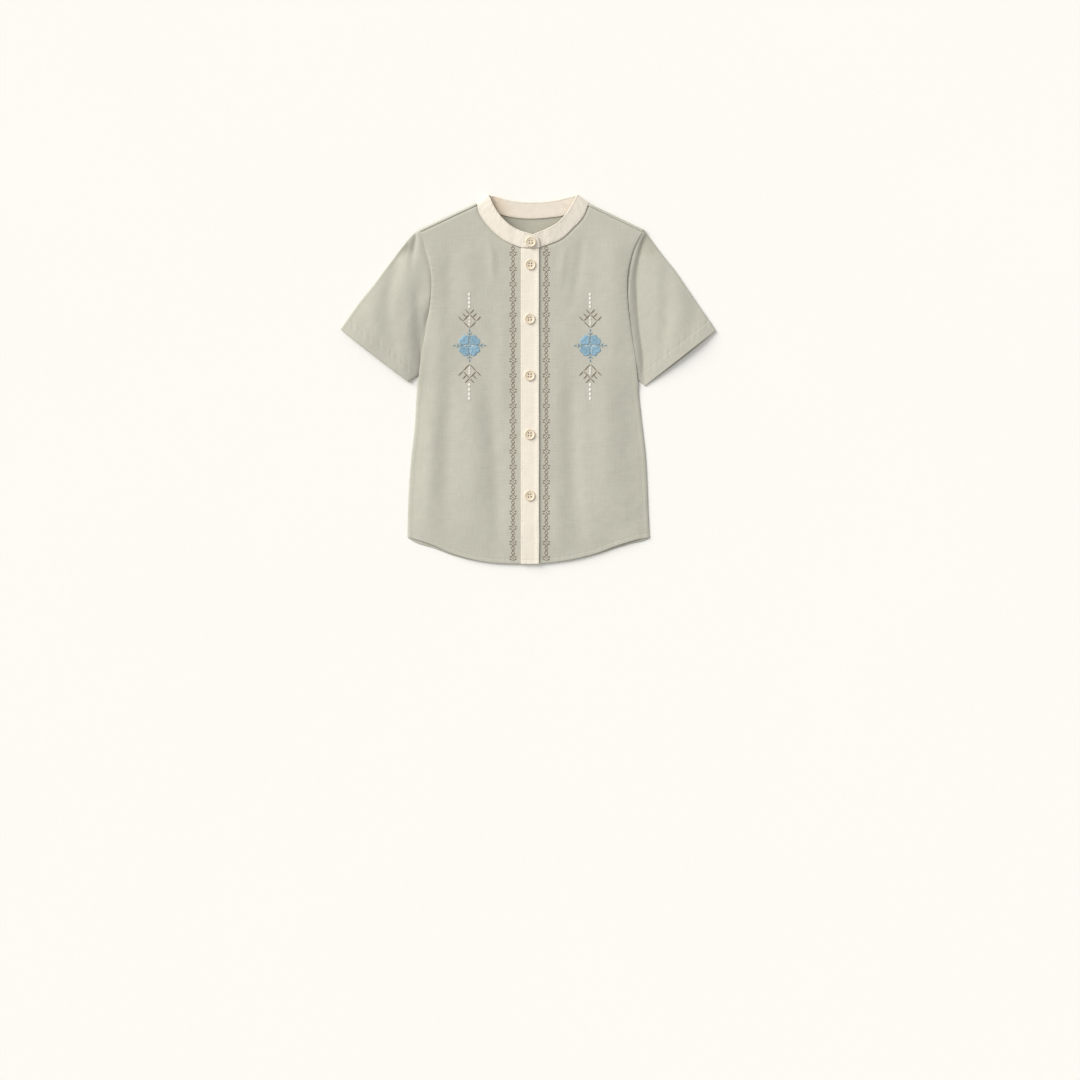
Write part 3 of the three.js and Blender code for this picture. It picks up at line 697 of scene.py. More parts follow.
def front_height(side, cloth, points):
    """Height of the outer face of one front over plan points.

    A level lay, less a crown that falls as the square of the nearness to the side and a bell-shaped
    sink at the hem, plus the folds; over the last millimetres a quarter circle comes down to the rim.
    At the neck and the shoulder it dips under its neighbour, and the hem is a band with a groove.
    """
    x, y = points[..., 0], points[..., 1]
    hem_width = cloth.hem_width / MM
    from_outer = distance_to(side["outer_line"], points)
    from_neck = distance_to(side["neck_tuck"], points) - NECK_TUCK
    from_shoulder = (side["shoulder_line"][0] - points) @ side["shoulder_up"]
    from_front = np.abs(x - side["neck_line"][-1, 0])
    from_hem = distance_to(FRONT_HEM_LINE, points)
    below_shoulder = smooth(0.0, 60.0, from_shoulder)
    from_side = np.maximum(from_outer, EDGE_ROUND)
    crown_drop = CROWN_DROP + SIDE_DROP * smooth(30.0, -40.0, y)
    crown = crown_drop * np.clip(1.0 - from_side / CROWN_WIDTH, 0.0, 1.0) ** 2 * below_shoulder
    away = smooth(3.0, 27.0, np.minimum(from_neck, from_front)) * below_shoulder * smooth(0.0, 36.0, from_hem)
    crumple = 0.35 * soft_noise(points, 31.0, 4) + 0.12 * soft_noise(points, 9.0, 5)
    folds = (fold_rise(side["folds"], points) * cloth.fold_depth + crumple) * away
    top = FRONT_LEVEL - crown - hem_sink(points, from_side) + folds
    rim = top - 0.8 * smooth(0.0, 25.0, from_shoulder)
    rim = mix(rim, 0.6, smooth(-2.0, -24.0, y))
    near_edge = np.clip(1.0 - from_outer / EDGE_ROUND, 0.0, 1.0)
    height = mix(rim, top, np.sqrt(1.0 - near_edge**2))
    height -= 1.0 * smooth(3.6, -0.4, from_neck)
    height -= np.interp(from_shoulder, [-SHOULDER_TUCK, 0.0, 1.0, 4.5], [2.0, 1.5, 0.9, 0.0])
    height += 0.22 * smooth(hem_width + 0.9, hem_width - 0.3, from_hem)
    height -= 0.3 * bell(from_hem - hem_width, 0.8)
    height += puckers(from_hem - hem_width, x, 5.0, 0.16)
    height += puckers(from_outer - 2.0, y, 7.0, 0.22) * smooth(66.0, 78.0, y) * below_shoulder
    height += puckers(from_front - 2.0, y + 3.0 * side["outward"], 7.0, 0.14) * smooth(0.0, 9.0, from_neck)
    height += puckers(from_neck - 1.0, x + y, 6.0, 0.14) * smooth(0.0, 12.0, from_shoulder)
    return height


def front_surface(side, cloth):
    """The outer face of one front as a function of plan places."""
    return lambda places: np.concatenate([places, front_height(side, cloth, places)[..., None]], -1)


def front_plan(side, u, v):
    """Plan places of one front: rows from the inner edge to the outer edge, bent to the hem's curve.

    u is the share across, and its last fifth crosses the rolled edge by the sine of its turn. Rows
    with v below 0 run on under the shoulder seam.
    """
    down = np.maximum(v, 0.0)
    outer, inner = outer_edge(side, down), inner_edge(side, down)
    flat = 1.0 - EDGE_ROUND / np.linalg.norm(outer - inner, axis=-1)
    turn = np.clip((u - 0.8) / 0.2, 0.0, 1.0) * np.pi / 2.0
    share = np.where(turn > 0.0, mix(flat, 1.0, np.sin(turn)), u / 0.8 * flat)
    at = mix(inner, outer, share[..., None])
    chord = mix(inner_edge(side, 1.0), outer_edge(side, 1.0), share[..., None])
    to_hem = height_at(FRONT_HEM_LINE, chord[..., 0]) - chord[..., 1]
    at[..., 1] += smooth(HEM_BEND_SHARE, 1.0, down) * to_hem
    return at + side["shoulder_up"] * (SHOULDER_TUCK * np.maximum(-v, 0.0))[..., None]


SHOULDER_SPAN = SIDES["left"]["armhole"][0][0] - SIDES["right"]["armhole"][0][0]
NECK_START = (SIDES["right"]["neck"][0][0] - SIDES["right"]["armhole"][0][0]) / SHOULDER_SPAN
NECK_END = (SIDES["left"]["neck"][0][0] - SIDES["right"]["armhole"][0][0]) / SHOULDER_SPAN
WRAP_TUCK = 2.0 / SHOULDER_SPAN


def back_point(cloth, u, v):
    """The inner face of the back: level from side to side, bent to the neck and to the hem.

    Rows with v from 0 to -1 turn up and forwards over the shoulders through half a circle, and end
    just over the shoulder seams. Beside the underarm the edge is drawn in under the body.
    """
    thickness = cloth.thickness / MM
    down = np.maximum(v, 0.0)

    def across(share):
        ends = []
        for side in SIDES.values():
            edge = outer_edge(side, share)
            under_body = smooth(80.0, 66.0, edge[..., 1]) * smooth(-16.0, 0.0, edge[..., 1])
            draw = (1.1 + 3.4 * under_body) * smooth(0.0, 0.02, share)
            edge[..., 0] -= side["outward"] * draw
            ends.append(edge)
        return mix(ends[0], ends[1], u[..., None])

    at, tip_chord, hem_chord = across(down), across(np.zeros_like(down)), across(np.ones_like(down))
    x = tip_chord[..., 0]
    right_tip, right_neck = SIDES["right"]["shoulder_line"]
    left_tip, left_neck = SIDES["left"]["shoulder_line"]
    right_y = right_neck[1] + (x - right_neck[0]) * (right_tip - right_neck)[1] / (right_tip - right_neck)[0]
    left_y = left_neck[1] + (x - left_neck[0]) * (left_tip - left_neck)[1] / (left_tip - left_neck)[0]
    under_collar = smooth(NECK_START, NECK_START + 0.02, u) * smooth(NECK_END, NECK_END - 0.02, u)
    neck_y = height_at(BACK_NECK_LINE, x) + 2.2 * under_collar
    top_y = np.where(u >= NECK_END - WRAP_TUCK, left_y, neck_y)
    top_y = np.where(u <= NECK_START + WRAP_TUCK, right_y, top_y)
    at[..., 1] += (top_y - tip_chord[..., 1]) * (1.0 - smooth(0.0, ARMHOLE_SHARE, down))
    to_hem = height_at(BACK_HEM_LINE, hem_chord[..., 0]) - hem_chord[..., 1]
    at[..., 1] += to_hem * smooth(HEM_BEND_SHARE, 1.0, down)
    lift = np.full(u.shape, thickness)
    wrap = np.maximum(-v, 0.0) * 1.06
    turn = np.minimum(wrap, 1.0) * np.pi
    past_start = smooth(NECK_START - 0.004, NECK_START + WRAP_TUCK, u)
    sunk = past_start * smooth(NECK_END + 0.004, NECK_END - WRAP_TUCK, u)
    radius = (SHOULDER_RADIUS - thickness) * (1.0 - 0.35 * sunk)
    forward = radius * np.sin(turn) - 0.7 * np.maximum(wrap - 1.0, 0.0) / 0.06
    up = np.where((x < 0.0)[..., None], SIDES["right"]["shoulder_up"], SIDES["left"]["shoulder_up"])
    at += up * forward[..., None]
    lift += radius * (1.0 - np.cos(turn))
    return np.concatenate([at, lift[..., None]], -1)


def sleeve_from_hem(u, v):
    """Distance of a place on a sleeve from its hem.

    It is the share left of a length of 190 mm at the outer fold and 80 mm at the inner side.
    """
    share = np.interp(u % 1.0, [0.0, 0.2, 0.6, 0.75, 1.0], [0.0, 0.03, 0.96, 0.96, 0.0])
    return (1.0 - np.maximum(v, 0.0)) * mix(190.0, 80.0, share)


def sleeve_surface(side, cloth):
    """The outer face of a flattened sleeve, as a function of u round it and v down it.

    u to 0.2 rolls round the outer fold, to 0.6 crosses the top, to 0.75 rolls in at the inner side,
    and the rest crosses below. Rows with v below 0 run on under the edge of the body.
    """
    fold_line = along(side["sleeve_fold"], NET)
    inner_line = along(side["sleeve_inner"], NET)
    outward = side["outward"]
    shoulder_in = unit(side["shoulder_line"][1] - side["shoulder_line"][0])
    head_in = np.array([-outward, 0.0])
    hem_reach = side["hem_reach"]

    def at_places(places):
        u, v = places[..., 0] % 1.0, places[..., 1]
        down, tuck = np.maximum(v, 0.0), np.maximum(-v, 0.0)
        roll_out = mix(-np.pi / 2, np.pi / 2, np.clip(u / 0.2, 0.0, 1.0))
        roll_in = mix(np.pi / 2, -np.pi / 2, np.clip((u - 0.6) / 0.15, 0.0, 1.0))
        lift = (1.0 + np.sin(roll_out)) * (1.0 + np.sin(roll_in)) / 4.0
        crossing = np.interp(u, [0.2, 0.6, 0.75, 1.0], [0.0, 1.0, 1.0, 0.0])
        fold = read_line(fold_line, down)
        inner = read_line(inner_line, down)
        inner[..., 0] -= outward * 3.6 * smooth(0.95, 0.68, down)
        width = np.linalg.norm(inner - fold, axis=-1)
        outer_round = mix(SHOULDER_RADIUS, SLEEVE_OUTER_ROUND, smooth(0.0, 0.3, down))
        flat = width - outer_round - SLEEVE_INNER_ROUND
        reach = outer_round * (1.0 - np.cos(roll_out)) + flat * crossing
        share = (reach + SLEEVE_INNER_ROUND * np.cos(roll_in)) / width
        at = mix(fold, inner, share[..., None])
        head = read_line(side["head_line"], share)
        chord = mix(side["head_line"][0], side["head_line"][-1], share[..., None])
        at += (head - chord) * ((1.0 - down) ** 2)[..., None]
        at[..., 0] += outward * 0.2
        into_body = mix(shoulder_in, head_in, smooth(0.0, 0.3, share)[..., None])
        at += into_body * (SLEEVE_TUCK * tuck)[..., None]
        to_hem = unit(read_line(fold_line, 1.0) - read_line(fold_line, 0.9))
        bowed = np.sin(np.pi * np.clip(share, 0.0, 1.0)) ** 0.7
        below = hem_reach * smooth(0.9, 1.0, down) * (1.0 - lift) * bowed
        at += to_hem * below[..., None]
        seam = smooth(0.0, 0.06, down)
        folds = fold_rise(side["sleeve_folds"], at) * cloth.fold_depth * smooth(1.25, 0.8, down)
        crumple = 0.4 * soft_noise(at, 27.0, 7) + 0.12 * soft_noise(at, 8.0, 8)
        from_fold = np.maximum(share * width, outer_round)
        puffed = FRONT_LEVEL + SLEEVE_PUFF * smooth(0.0, 0.2, down)
        level = puffed - 4.4 * np.clip(1.0 - from_fold / 46.0, 0.0, 1.0) ** 2 * smooth(0.0, 0.2, down)
        edge_x = np.interp(-at[..., 1], -side["outer_line"][:, 1], side["outer_line"][:, 0])
        outside = outward * (at[..., 0] - edge_x)
        under_body = smooth(128.0, 92.0, at[..., 1])
        if side["flank"] is not None:
            flank_width = np.interp(at[..., 1], *np.array(side["flank"]).T)
            top = mix(6.0, mix(5.0, 2.3, smooth(36.0, -4.0, at[..., 1])), under_body)
            low = mix(level, VALLEY_LEVEL, smooth(238.0, 205.0, at[..., 1]))
            beyond = np.clip((outside - flank_width) / 78.0, 0.0, 1.0)
            beside = mix(top, low, np.clip(outside / flank_width, 0.0, 1.0) ** 1.8)
            level = np.where(outside < flank_width, beside, mix(low, level, 1.0 - (1.0 - beyond) ** 2))
        else:
            beside = mix(5.4, level, smooth(0.0, 40.0, outside))
            valley = mix(level, VALLEY_LEVEL, np.clip(1.0 - outside / 30.0, 0.0, 1.0) ** 2)
            level = mix(beside, valley, under_body)
        level = level + (folds + crumple * smooth(0.02, 0.2, share)) * seam
        level = np.maximum(level, VALLEY_LEVEL - 0.1)
        head_height = mix(mix(5.2, 4.3, smooth(0.03, 0.15, share)), 1.9, under_body)
        upper = mix(head_height, level, seam)
        lower = 0.85 * (1.0 - smooth(0.0, 0.03, down))
        from_hem = sleeve_from_hem(u, v)
        hem = cloth.sleeve_hem / MM
        band = 0.2 * smooth(hem + 0.9, hem - 0.3, from_hem) - 0.3 * bell(from_hem - hem, 0.8)
        band += puckers(from_hem - hem, at[..., 0], 7.0, 0.26)
        z = mix(lower, upper, lift) + band * smooth(0.5, 1.0, lift)
        return np.concatenate([at, z[..., None]], -1)

    return at_places


COLLAR_ROWS = np.array(COLLAR_SECTIONS)


def collar_surface(places):
    """The outer face of the collar: u along it by sections, v from the seam to the free edge.

    A band ruled between two curves, the free edge higher by a share of the reach in plan, with a few
    slow waves along it that grow towards the free edge.
    """
    u, v = places[..., 0], places[..., 1]
    seam_rows = COLLAR_ROWS[:, :3] + [0.0, 0.0, COLLAR_LAP]
    over_shoulder = np.clip(1.0 - np.abs(COLLAR_ROWS[:, 2] - SHOULDER_RADIUS) / SHOULDER_RADIUS, 0.0, 1.0)
    seam_rows[:, 1] += COLLAR_LAP * over_shoulder
    reach = np.linalg.norm(COLLAR_ROWS[:, 3:5] - COLLAR_ROWS[:, :2], axis=-1)
    rise = mix(COLLAR_RISE, 0.05, smooth(3.0, 0.4, COLLAR_ROWS[:, 2]))
    edge_rows = np.column_stack([COLLAR_ROWS[:, 3:5], seam_rows[:, 2] + rise * reach])
    at = mix(curve_at(seam_rows, u), curve_at(edge_rows, u), v[..., None])
    wave = 0.3 * np.sin(u * 41.0) + 0.2 * np.sin(u * 67.0 + 1.7) + 0.1 * np.sin(u * 113.0 + 0.4)
    length, up = u * 400.0, v * 25.0
    slanted = np.stack([length + 0.7 * up, up * 0.45 - 0.2 * length], -1)
    rumple = 0.22 * soft_noise(slanted, 6.5, 15) + 0.1 * soft_noise(slanted, 3.1, 16)
    rumple += puckers(np.minimum(up, 25.0 - up) - 2.0, length, 4.0, 0.2)
    settled = smooth(0.0, 0.16, u) * smooth(1.0, 0.84, u)
    at[..., 2] += (wave * v + rumple * smooth(0.0, 0.12, v)) * settled
    return at


def strip_surface(left, right, top, height):
    """A strip over the front edges: x across, y from its top to the hem, at a height above the lay."""

    def at_places(places):
        x = mix(left, right, places[..., 0])
        y = mix(top, height_at(FRONT_HEM_LINE, x), places[..., 1])
        middle = np.stack([np.full(x.shape, (PLACKET_LEFT + PLACKET_RIGHT) / 2.0), y], -1)
        lay_height = FRONT_LEVEL - hem_sink(middle, np.full(x.shape, HEM_CORNER))
        return np.stack([x, y, lay_height + height(x, y)], -1)

    return at_places


def placket_surface(cloth):
    """The outer face of the placket: its free edge stands off the front, and stitching draws it in."""
    thickness = cloth.collar_thickness / MM

    def height(x, y):
        from_edge = np.minimum(x - PLACKET_LEFT, PLACKET_RIGHT - x)
        from_hem = y - height_at(FRONT_HEM_LINE, x)
        stitched = np.minimum(np.abs(from_edge - 2.0), np.abs(from_hem - 6.5))
        stand_off = 0.25 + 0.75 * smooth(PLACKET_RIGHT - 8.0, PLACKET_RIGHT, x)
        sink = 1.0 * smooth(194.5, 198.0, y)
        rumple = 0.16 * soft_noise(np.stack([x, y], -1), 11.0, 12) * smooth(0.0, 5.0, from_edge)
        drawn_in = 0.16 * bell(stitched, 0.7)
        return thickness + stand_off - sink - drawn_in + rumple + puckers(from_edge, y, 4.0, 0.1)

    straight = strip_surface(PLACKET_LEFT, PLACKET_RIGHT, PLACKET_TOP + 2.2, height)

    def at_places(places):
        points = straight(places)
        sway = 0.3 * np.sin(points[..., 1] / 21.0) + 0.2 * np.sin(points[..., 1] / 9.7 + 1.0)
        points[..., 0] += sway * smooth(0.9, 1.0, places[..., 0])
        return points

    return at_places


# ---------------------------------------------------------------- threads and their charts


def find_places(surface, plan, guess, step):
    """Places on a surface that lie over plan points, by six Newton steps from a guess."""
    places = np.broadcast_to(np.asarray(guess, float), plan.shape).copy()
    for _ in range(6):
        ahead = [surface(places + move)[..., :2] - surface(places - move)[..., :2] for move in np.diag(step)]
        (a, c), (b, d) = (np.moveaxis(slope / (2.0 * size), -1, 0) for slope, size in zip(ahead, step))
        miss_x, miss_y = np.moveaxis(plan - surface(places)[..., :2], -1, 0)
        turn = a * d - b * c
        places += np.stack([(d * miss_x - b * miss_y) / turn, (a * miss_y - c * miss_x) / turn], -1)
    return places


def inner_face(surface, thickness, step):
    """The other face of a cloth whose outer face is given, with its normals the wrong way round."""

    def at_places(places):
        points, normals = lay(surface, places, step)
        return points + normals * thickness

    return at_places


def pairs(rows):
    """Starts and ends, from rows of x0, y0, x1, y1."""
    rows = np.array(rows, float)
    return rows[:, :2], rows[:, 2:]


def turned(rows, flip_x=1.0, flip_y=1.0, centre=(0.0, 0.0)):
    """Rows of x0, y0, x1, y1 mirrored in x or y, and then moved to a centre."""
    return np.array(rows, float) * [flip_x, flip_y, flip_x, flip_y] + [*centre, *centre]


def comb_diamond(half_width, half_height):
    """A diamond whose upper sides carry three parallel teeth each, all at the slope of its sides."""
    w, h = half_width, half_height
    right = [
        (0, -h, w, 0),
        (w, 0, w + 7.0, 7.4),
        (0, h, w, 0),
        (0, h, -7.0, h + 7.4),
        (w * 0.46, h * 0.54, w * 0.46 + 6.0, h * 0.54 + 6.3),
    ]
    return np.concatenate([right, turned(right, flip_x=-1.0)])


def satin_dot(x, y, radius, count):
    """A round of satin stitch: parallel stitches as long as the chords of a circle."""
    place = (np.arange(count) + 0.5) / count * 2.0 - 1.0
    chord = np.sqrt(1.0 - place**2) * radius
    return np.stack([x - chord, y + place * radius, x + chord, y + place * radius], -1)


def petal_stitches(reach, count, seed):
    """Long and short stitches of one petal along its diagonal, in two rows that meet at uneven places.

    Across the diagonal the petal is a shallow heart: its outer end is notched in the middle and
    rounds off at both sides, and its inner end is a blunt point.
    """
    random = np.random.default_rng(seed)
    across = np.linspace(-1.0, 1.0, count)
    start = 1.3 + 6.6 * np.abs(across) ** 1.35
    end = reach * (0.95 + 0.12 * np.abs(across) - 0.22 * across**4)
    meet = mix(start, end, 0.5 + 0.13 * random.uniform(-1.0, 1.0, count))
    side = across * 7.3
    inner = np.stack([start, side * 0.94, meet + 1.2, side], -1)
    outer = np.stack([meet - 1.2, side, end, side], -1)
    rows = np.concatenate([inner, outer])
    turn = math.sqrt(0.5)
    x0, y0, x1, y1 = rows.T
    return np.stack([(x0 - y0) * turn, (x0 + y0) * turn, (x1 - y1) * turn, (x1 + y1) * turn], -1)


def flower():
    """Four petals on the diagonals, with a sprig up, down, left and right between them."""
    petals = [
        turned(petal_stitches(17.9, 21, 20 + k), *flips)
        for k, flips in enumerate([(1, 1), (-1, 1), (1, -1), (-1, -1)])
    ]
    sprig = []
    for height, spread, rise in [(12.0, 3.4, 3.2), (16.8, 3.6, 2.8)]:
        for inset in (0.0, 0.75):
            for hand in (-1, 1):
                side = hand * (spread - inset * 0.4)
                sprig.append((0.2 * hand, height - inset, side, height + rise - inset))
    sprig += [(0.0, 4.0, 0.0, 7.2), (0.0, 8.4, 0.0, 12.5), (0.0, 12.2, 0.0, 20.2)]
    sprig += [(0.0, 20.4, -0.8, 22.6), (0.0, 20.4, 0.8, 22.6)]
    sprig += [(-0.8, 22.2, 0.0, 25.2), (0.8, 22.2, 0.0, 25.2)]
    sprig = np.array(sprig)
    sideways = sprig[:, [1, 0, 3, 2]]
    sprigs = [sprig, turned(sprig, flip_y=-1.0), sideways, turned(sideways, flip_x=-1.0)]
    knot = satin_dot(0.0, 0.0, 2.0, 5)
    return np.concatenate([*petals, knot]), np.concatenate(sprigs)


def strip_repeat():
    """One repeat of a strip: a wide lozenge with open, hooked sides and a knot, and two narrow ones."""
    wide = [(0, 4.4, 4.7, 0.35), (0, -4.4, 4.7, -0.35), (3.4, 0.9, 5.4, 2.7), (3.4, -0.9, 5.4, -2.7)]
    small = [(0, 3.5, 2.8, 0.0), (0, -3.5, 2.8, 0.0)]
    rows = [wide, *[turned(small, centre=(0.0, y)) for y in (-7.9, -14.9)]]
    half = np.concatenate(rows)
    knots = [(-0.7, 0.3, 0.7, 0.3), (-0.7, -0.3, 0.7, -0.3), (0, -10.8, 0, -12.0)]
    return np.concatenate([half, turned(half, flip_x=-1.0), knots])


MOTIFS = {"right": -88.7, "left": 92.2}
STRIPS = {"right": -23.7, "left": 26.2}
STRIP_STEP = 22.8
FLOWER_Y = 51.2


def front_chart(name):
    """Starts and ends of all the embroidery of one front, as rows by colour, in plan millimetres."""
    x = MOTIFS[name]
    comb = comb_diamond(10.1, 10.6)
    brown = [turned(comb, centre=(x, 87.75)), turned(comb, flip_y=-1.0, centre=(x, 13.0))]
    for k in range(22):
        brown.append(turned(strip_repeat(), centre=(STRIPS[name], 211.7 - STRIP_STEP * k)))
    brown = np.concatenate(brown)
    hem = height_at(FRONT_HEM_LINE, brown[:, 0]) + 1.0
    brown = brown[(brown[:, 1] > hem) & (brown[:, 3] > hem) & (brown[:, [1, 3]].max(axis=1) < 201.0)]
    petals, sprigs = flower()
    dots = [satin_dot(x, y, 2.3, 7) for y in (127.8, 121.7, 115.5, 109.4, -7.3, -14.7, -21.6, -28.0)]
    dots += [satin_dot(x, y, 1.6, 5) for y in (92.0, 86.9, 82.8, 17.4, 13.4, 9.4)]
    dots += [turned([(3.2, 0.0, 7.4, 0.0)], flip_x=hand, centre=(x, FLOWER_Y)) for hand in (-1.0, 1.0)]
    centre = (x, FLOWER_Y)
    return {
        "brown": brown,
        "blue": turned(petals, centre=centre),
        "slate": turned(sprigs, centre=centre),
        "white": np.concatenate(dots),
    }


def buttonhole(x, half_length):
    """Two rows of close bars along a buttonhole that runs in y, and a bar tack across each end."""
    y = np.linspace(-half_length + 1.0, half_length - 1.0, 34)
    bars = [
        np.stack([x + side * 0.25 + y * 0.0, y, x + side * 1.3 + y * 0.0, y + 0.15], -1)
        for side in (-1, 1)
    ]
    ends = [
        np.stack([x + across, side * (half_length - 1.1) + across * 0.0,
                  x + across, side * half_length + across * 0.0], -1)
        for side in (-1, 1) for across in [np.linspace(-1.25, 1.25, 6)]
    ]
    return np.concatenate([*bars, *ends])


def button_profile(sizes):
    """Rows of radius and height from the flat middle over the raised rim to the underside."""
    outer, high = sizes.diameter / MM / 2.0, sizes.thickness / MM
    shares = [
        (0.0, 0.56), (0.55, 0.60), (0.735, 0.64), (0.77, 0.70), (0.80, 0.82), (0.835, 0.94), (0.88, 1.0),
        (0.925, 0.985), (0.965, 0.87), (0.99, 0.69), (1.0, 0.50), (0.99, 0.31), (0.96, 0.15), (0.91, 0.04),
        (0.85, 0.0),
    ]
    return np.array(shares) * [outer, high]


def button_mesh(sizes):
    """Points and faces of a button: a quarter at a time, from the rays of its hole to its edges.

    Each ray runs from the hole's rim to the edge of the quarter disc, straight in plan, at the height
    of the turned profile; the rim is that profile turned, and the underside is flat.
    """
    profile = button_profile(sizes)
    offset = sizes.hole_spacing / MM / 2.0
    hole = sizes.hole / MM / 2.0
    inner = 0.735 * sizes.diameter / MM / 2.0
    bottom = profile[-1, 0]
    arc = np.linspace(0.0, np.pi / 2.0, 19)
    down = np.linspace(1.0, 0.0, 9)[1:]
    quarter = np.vstack([
        np.stack([np.cos(arc), np.sin(arc)], -1),
        np.stack([down * 0.0, down], -1),
        np.stack([(1.0 - down)[:-1], down[:-1] * 0.0], -1),
    ])
    turns = np.arctan2(quarter[:, 1] * inner - offset, quarter[:, 0] * inner - offset)
    round_hole = np.stack([np.cos(turns), np.sin(turns)], -1)
    rings = []
    for share in np.linspace(0.0, 1.0, 7):
        plan = mix(quarter * inner, offset + round_hole * (hole + 0.22), share)
        radius = np.linalg.norm(plan, axis=-1)
        rings.append(np.column_stack([plan, np.interp(radius, profile[:9, 0], profile[:9, 1])]))
    face = rings[-1][:, 2]
    for grow, sink in [(0.1, 0.06), (0.02, 0.18), (0.0, 0.4)]:
        rings.append(np.column_stack([offset + round_hole * (hole + grow), face - sink]))
    rings.append(np.column_stack([offset + round_hole * hole, face * 0.0]))
    for share in np.linspace(1.0, 0.0, 4)[1:]:
        plan = mix(quarter * bottom, offset + round_hole * hole, share)
        rings.append(np.column_stack([plan, face * 0.0]))
    patch = np.array(rings)
    count = patch.shape[1]
    quads = grid_quads(len(patch), count, closed=True)
    points, faces = [], []
    for flip_x, flip_y in [(1, 1), (-1, 1), (-1, -1), (1, -1)]:
        points.append((patch * [flip_x, flip_y, 1.0]).reshape(-1, 3))
        faces.append((quads[:, ::-1] if flip_x * flip_y > 0 else quads) + len(faces) * patch.size // 3)
    start = len(faces) * patch.size // 3
    around = np.concatenate([arc[:-1] + k * np.pi / 2.0 for k in range(4)])
    rim = profile[2:]
    turned_rim = np.stack([
        rim[:, :1] * np.cos(around), rim[:, :1] * np.sin(around), rim[:, 1:] + around * 0.0], -1)
    points.append(turned_rim.reshape(-1, 3))
    faces.append(grid_quads(len(rim), len(around), closed=True) + start)
    points = np.concatenate(points)
    _, first, same = np.unique(points.round(4), axis=0, return_index=True, return_inverse=True)
    return points, first[same.ravel()[np.concatenate(faces)]]


def level_face(height):
    """A level surface as a function of plan places."""
    return lambda places: np.concatenate([places, np.full(places.shape[:-1] + (1,), height)], -1)


def button_face(sizes, centre, low):
    """The upper face of a button as a function of plan places, as if it had no holes."""
    profile = button_profile(sizes)

    def at_places(places):
        radius = np.linalg.norm(places - centre, axis=-1)
        height = low + np.interp(radius, profile[:7, 0], profile[:7, 1])
        return np.concatenate([places, height[..., None]], -1)

    return at_places


# ---------------------------------------------------------------- materials


def add_node(tree, kind, inputs=None, **settings):
    """A node with its settings, whose inputs are given as values or as the sockets that feed them."""
    node = tree.nodes.new(kind)
    for key, value in settings.items():
        setattr(node, key, value)
    for key, value in (inputs or {}).items():
        if isinstance(value, bpy.types.NodeSocket):
            tree.links.new(value, node.inputs[key])
        else:
            node.inputs[key].default_value = value
    return node


def calculate(tree, operation, first, second=0.0, third=0.0):
    """The value of a Math node."""
    node = add_node(tree, "ShaderNodeMath", {0: first, 1: second, 2: third}, operation=operation)
    return node.outputs[0]


def stretched_noise(tree, place, scale, detail=2.0):
    """Noise on a place that is stretched by a different scale each way."""
    mapped = add_node(tree, "ShaderNodeMapping", {"Vector": place, "Scale": scale})
    noise = add_node(
        tree, "ShaderNodeTexNoise", {"Vector": mapped.outputs[0], "Scale": 1.0, "Detail": detail})
    return noise.outputs["Fac"]


def new_group(name, inputs, outputs):
    """A shader node group with its sockets: rows are name, socket type, default."""
    tree = bpy.data.node_groups.new(name, "ShaderNodeTree")
    for socket_name, kind, default in inputs:
        socket = tree.interface.new_socket(name=socket_name, in_out="INPUT", socket_type=kind)
        socket.default_value = default
    for socket_name, kind in outputs:
        tree.interface.new_socket(name=socket_name, in_out="OUTPUT", socket_type=kind)
    return tree, tree.nodes.new("NodeGroupInput"), tree.nodes.new("NodeGroupOutput")


def woven_group():
    """Plain weave: a bump where each warp and weft thread cross, slubs along both, and a faint mottle."""
    name = "Plain weave"
    if name in bpy.data.node_groups:
        return bpy.data.node_groups[name]
    tree, given, result = new_group(
        name,
        [
            ("Colour", "NodeSocketColor", (0.5, 0.5, 0.5, 1.0)),
            ("Cloth", "NodeSocketVector", (0.0, 0.0, 0.0)),
            ("Threads per metre", "NodeSocketFloat", 2000.0),
            ("Slub", "NodeSocketFloat", 0.1),
            ("Mottle", "NodeSocketFloat", 0.05),
        ],
        [("Colour", "NodeSocketColor"), ("Height", "NodeSocketFloat")],
    )
    cloth = given.outputs["Cloth"]
    counted = add_node(
        tree, "ShaderNodeVectorMath", {0: cloth, "Scale": given.outputs["Threads per metre"]},
        operation="SCALE")
    split = add_node(tree, "ShaderNodeSeparateXYZ", {0: counted.outputs[0]})
    warp = calculate(tree, "SINE", calculate(tree, "MULTIPLY", split.outputs[0], math.pi))
    weft = calculate(tree, "SINE", calculate(tree, "MULTIPLY", split.outputs[1], math.pi))
    weave = calculate(tree, "ABSOLUTE", calculate(tree, "MULTIPLY", warp, weft))
    warp_slub = stretched_noise(tree, cloth, (900.0, 42.0, 1.0))
    weft_slub = stretched_noise(tree, cloth, (38.0, 820.0, 1.0))
    slub = calculate(tree, "SUBTRACT", calculate(tree, "ADD", warp_slub, weft_slub), 1.0)
    mottle = calculate(tree, "SUBTRACT", stretched_noise(tree, cloth, (70.0, 55.0, 1.0), 4.0), 0.5)
    shade = calculate(tree, "MULTIPLY_ADD", slub, given.outputs["Slub"], 1.0)
    shade = calculate(tree, "MULTIPLY_ADD", mottle, given.outputs["Mottle"], shade)
    shade = calculate(tree, "MULTIPLY_ADD", weave, 0.05, shade)
    colour = add_node(
        tree, "ShaderNodeVectorMath", {0: given.outputs["Colour"], "Scale": shade}, operation="SCALE")
    height = calculate(tree, "MULTIPLY_ADD", weave, 0.5, calculate(tree, "MULTIPLY", slub, 1.4))
    tree.links.new(colour.outputs[0], result.inputs["Colour"])
    tree.links.new(height, result.inputs["Height"])
    return tree


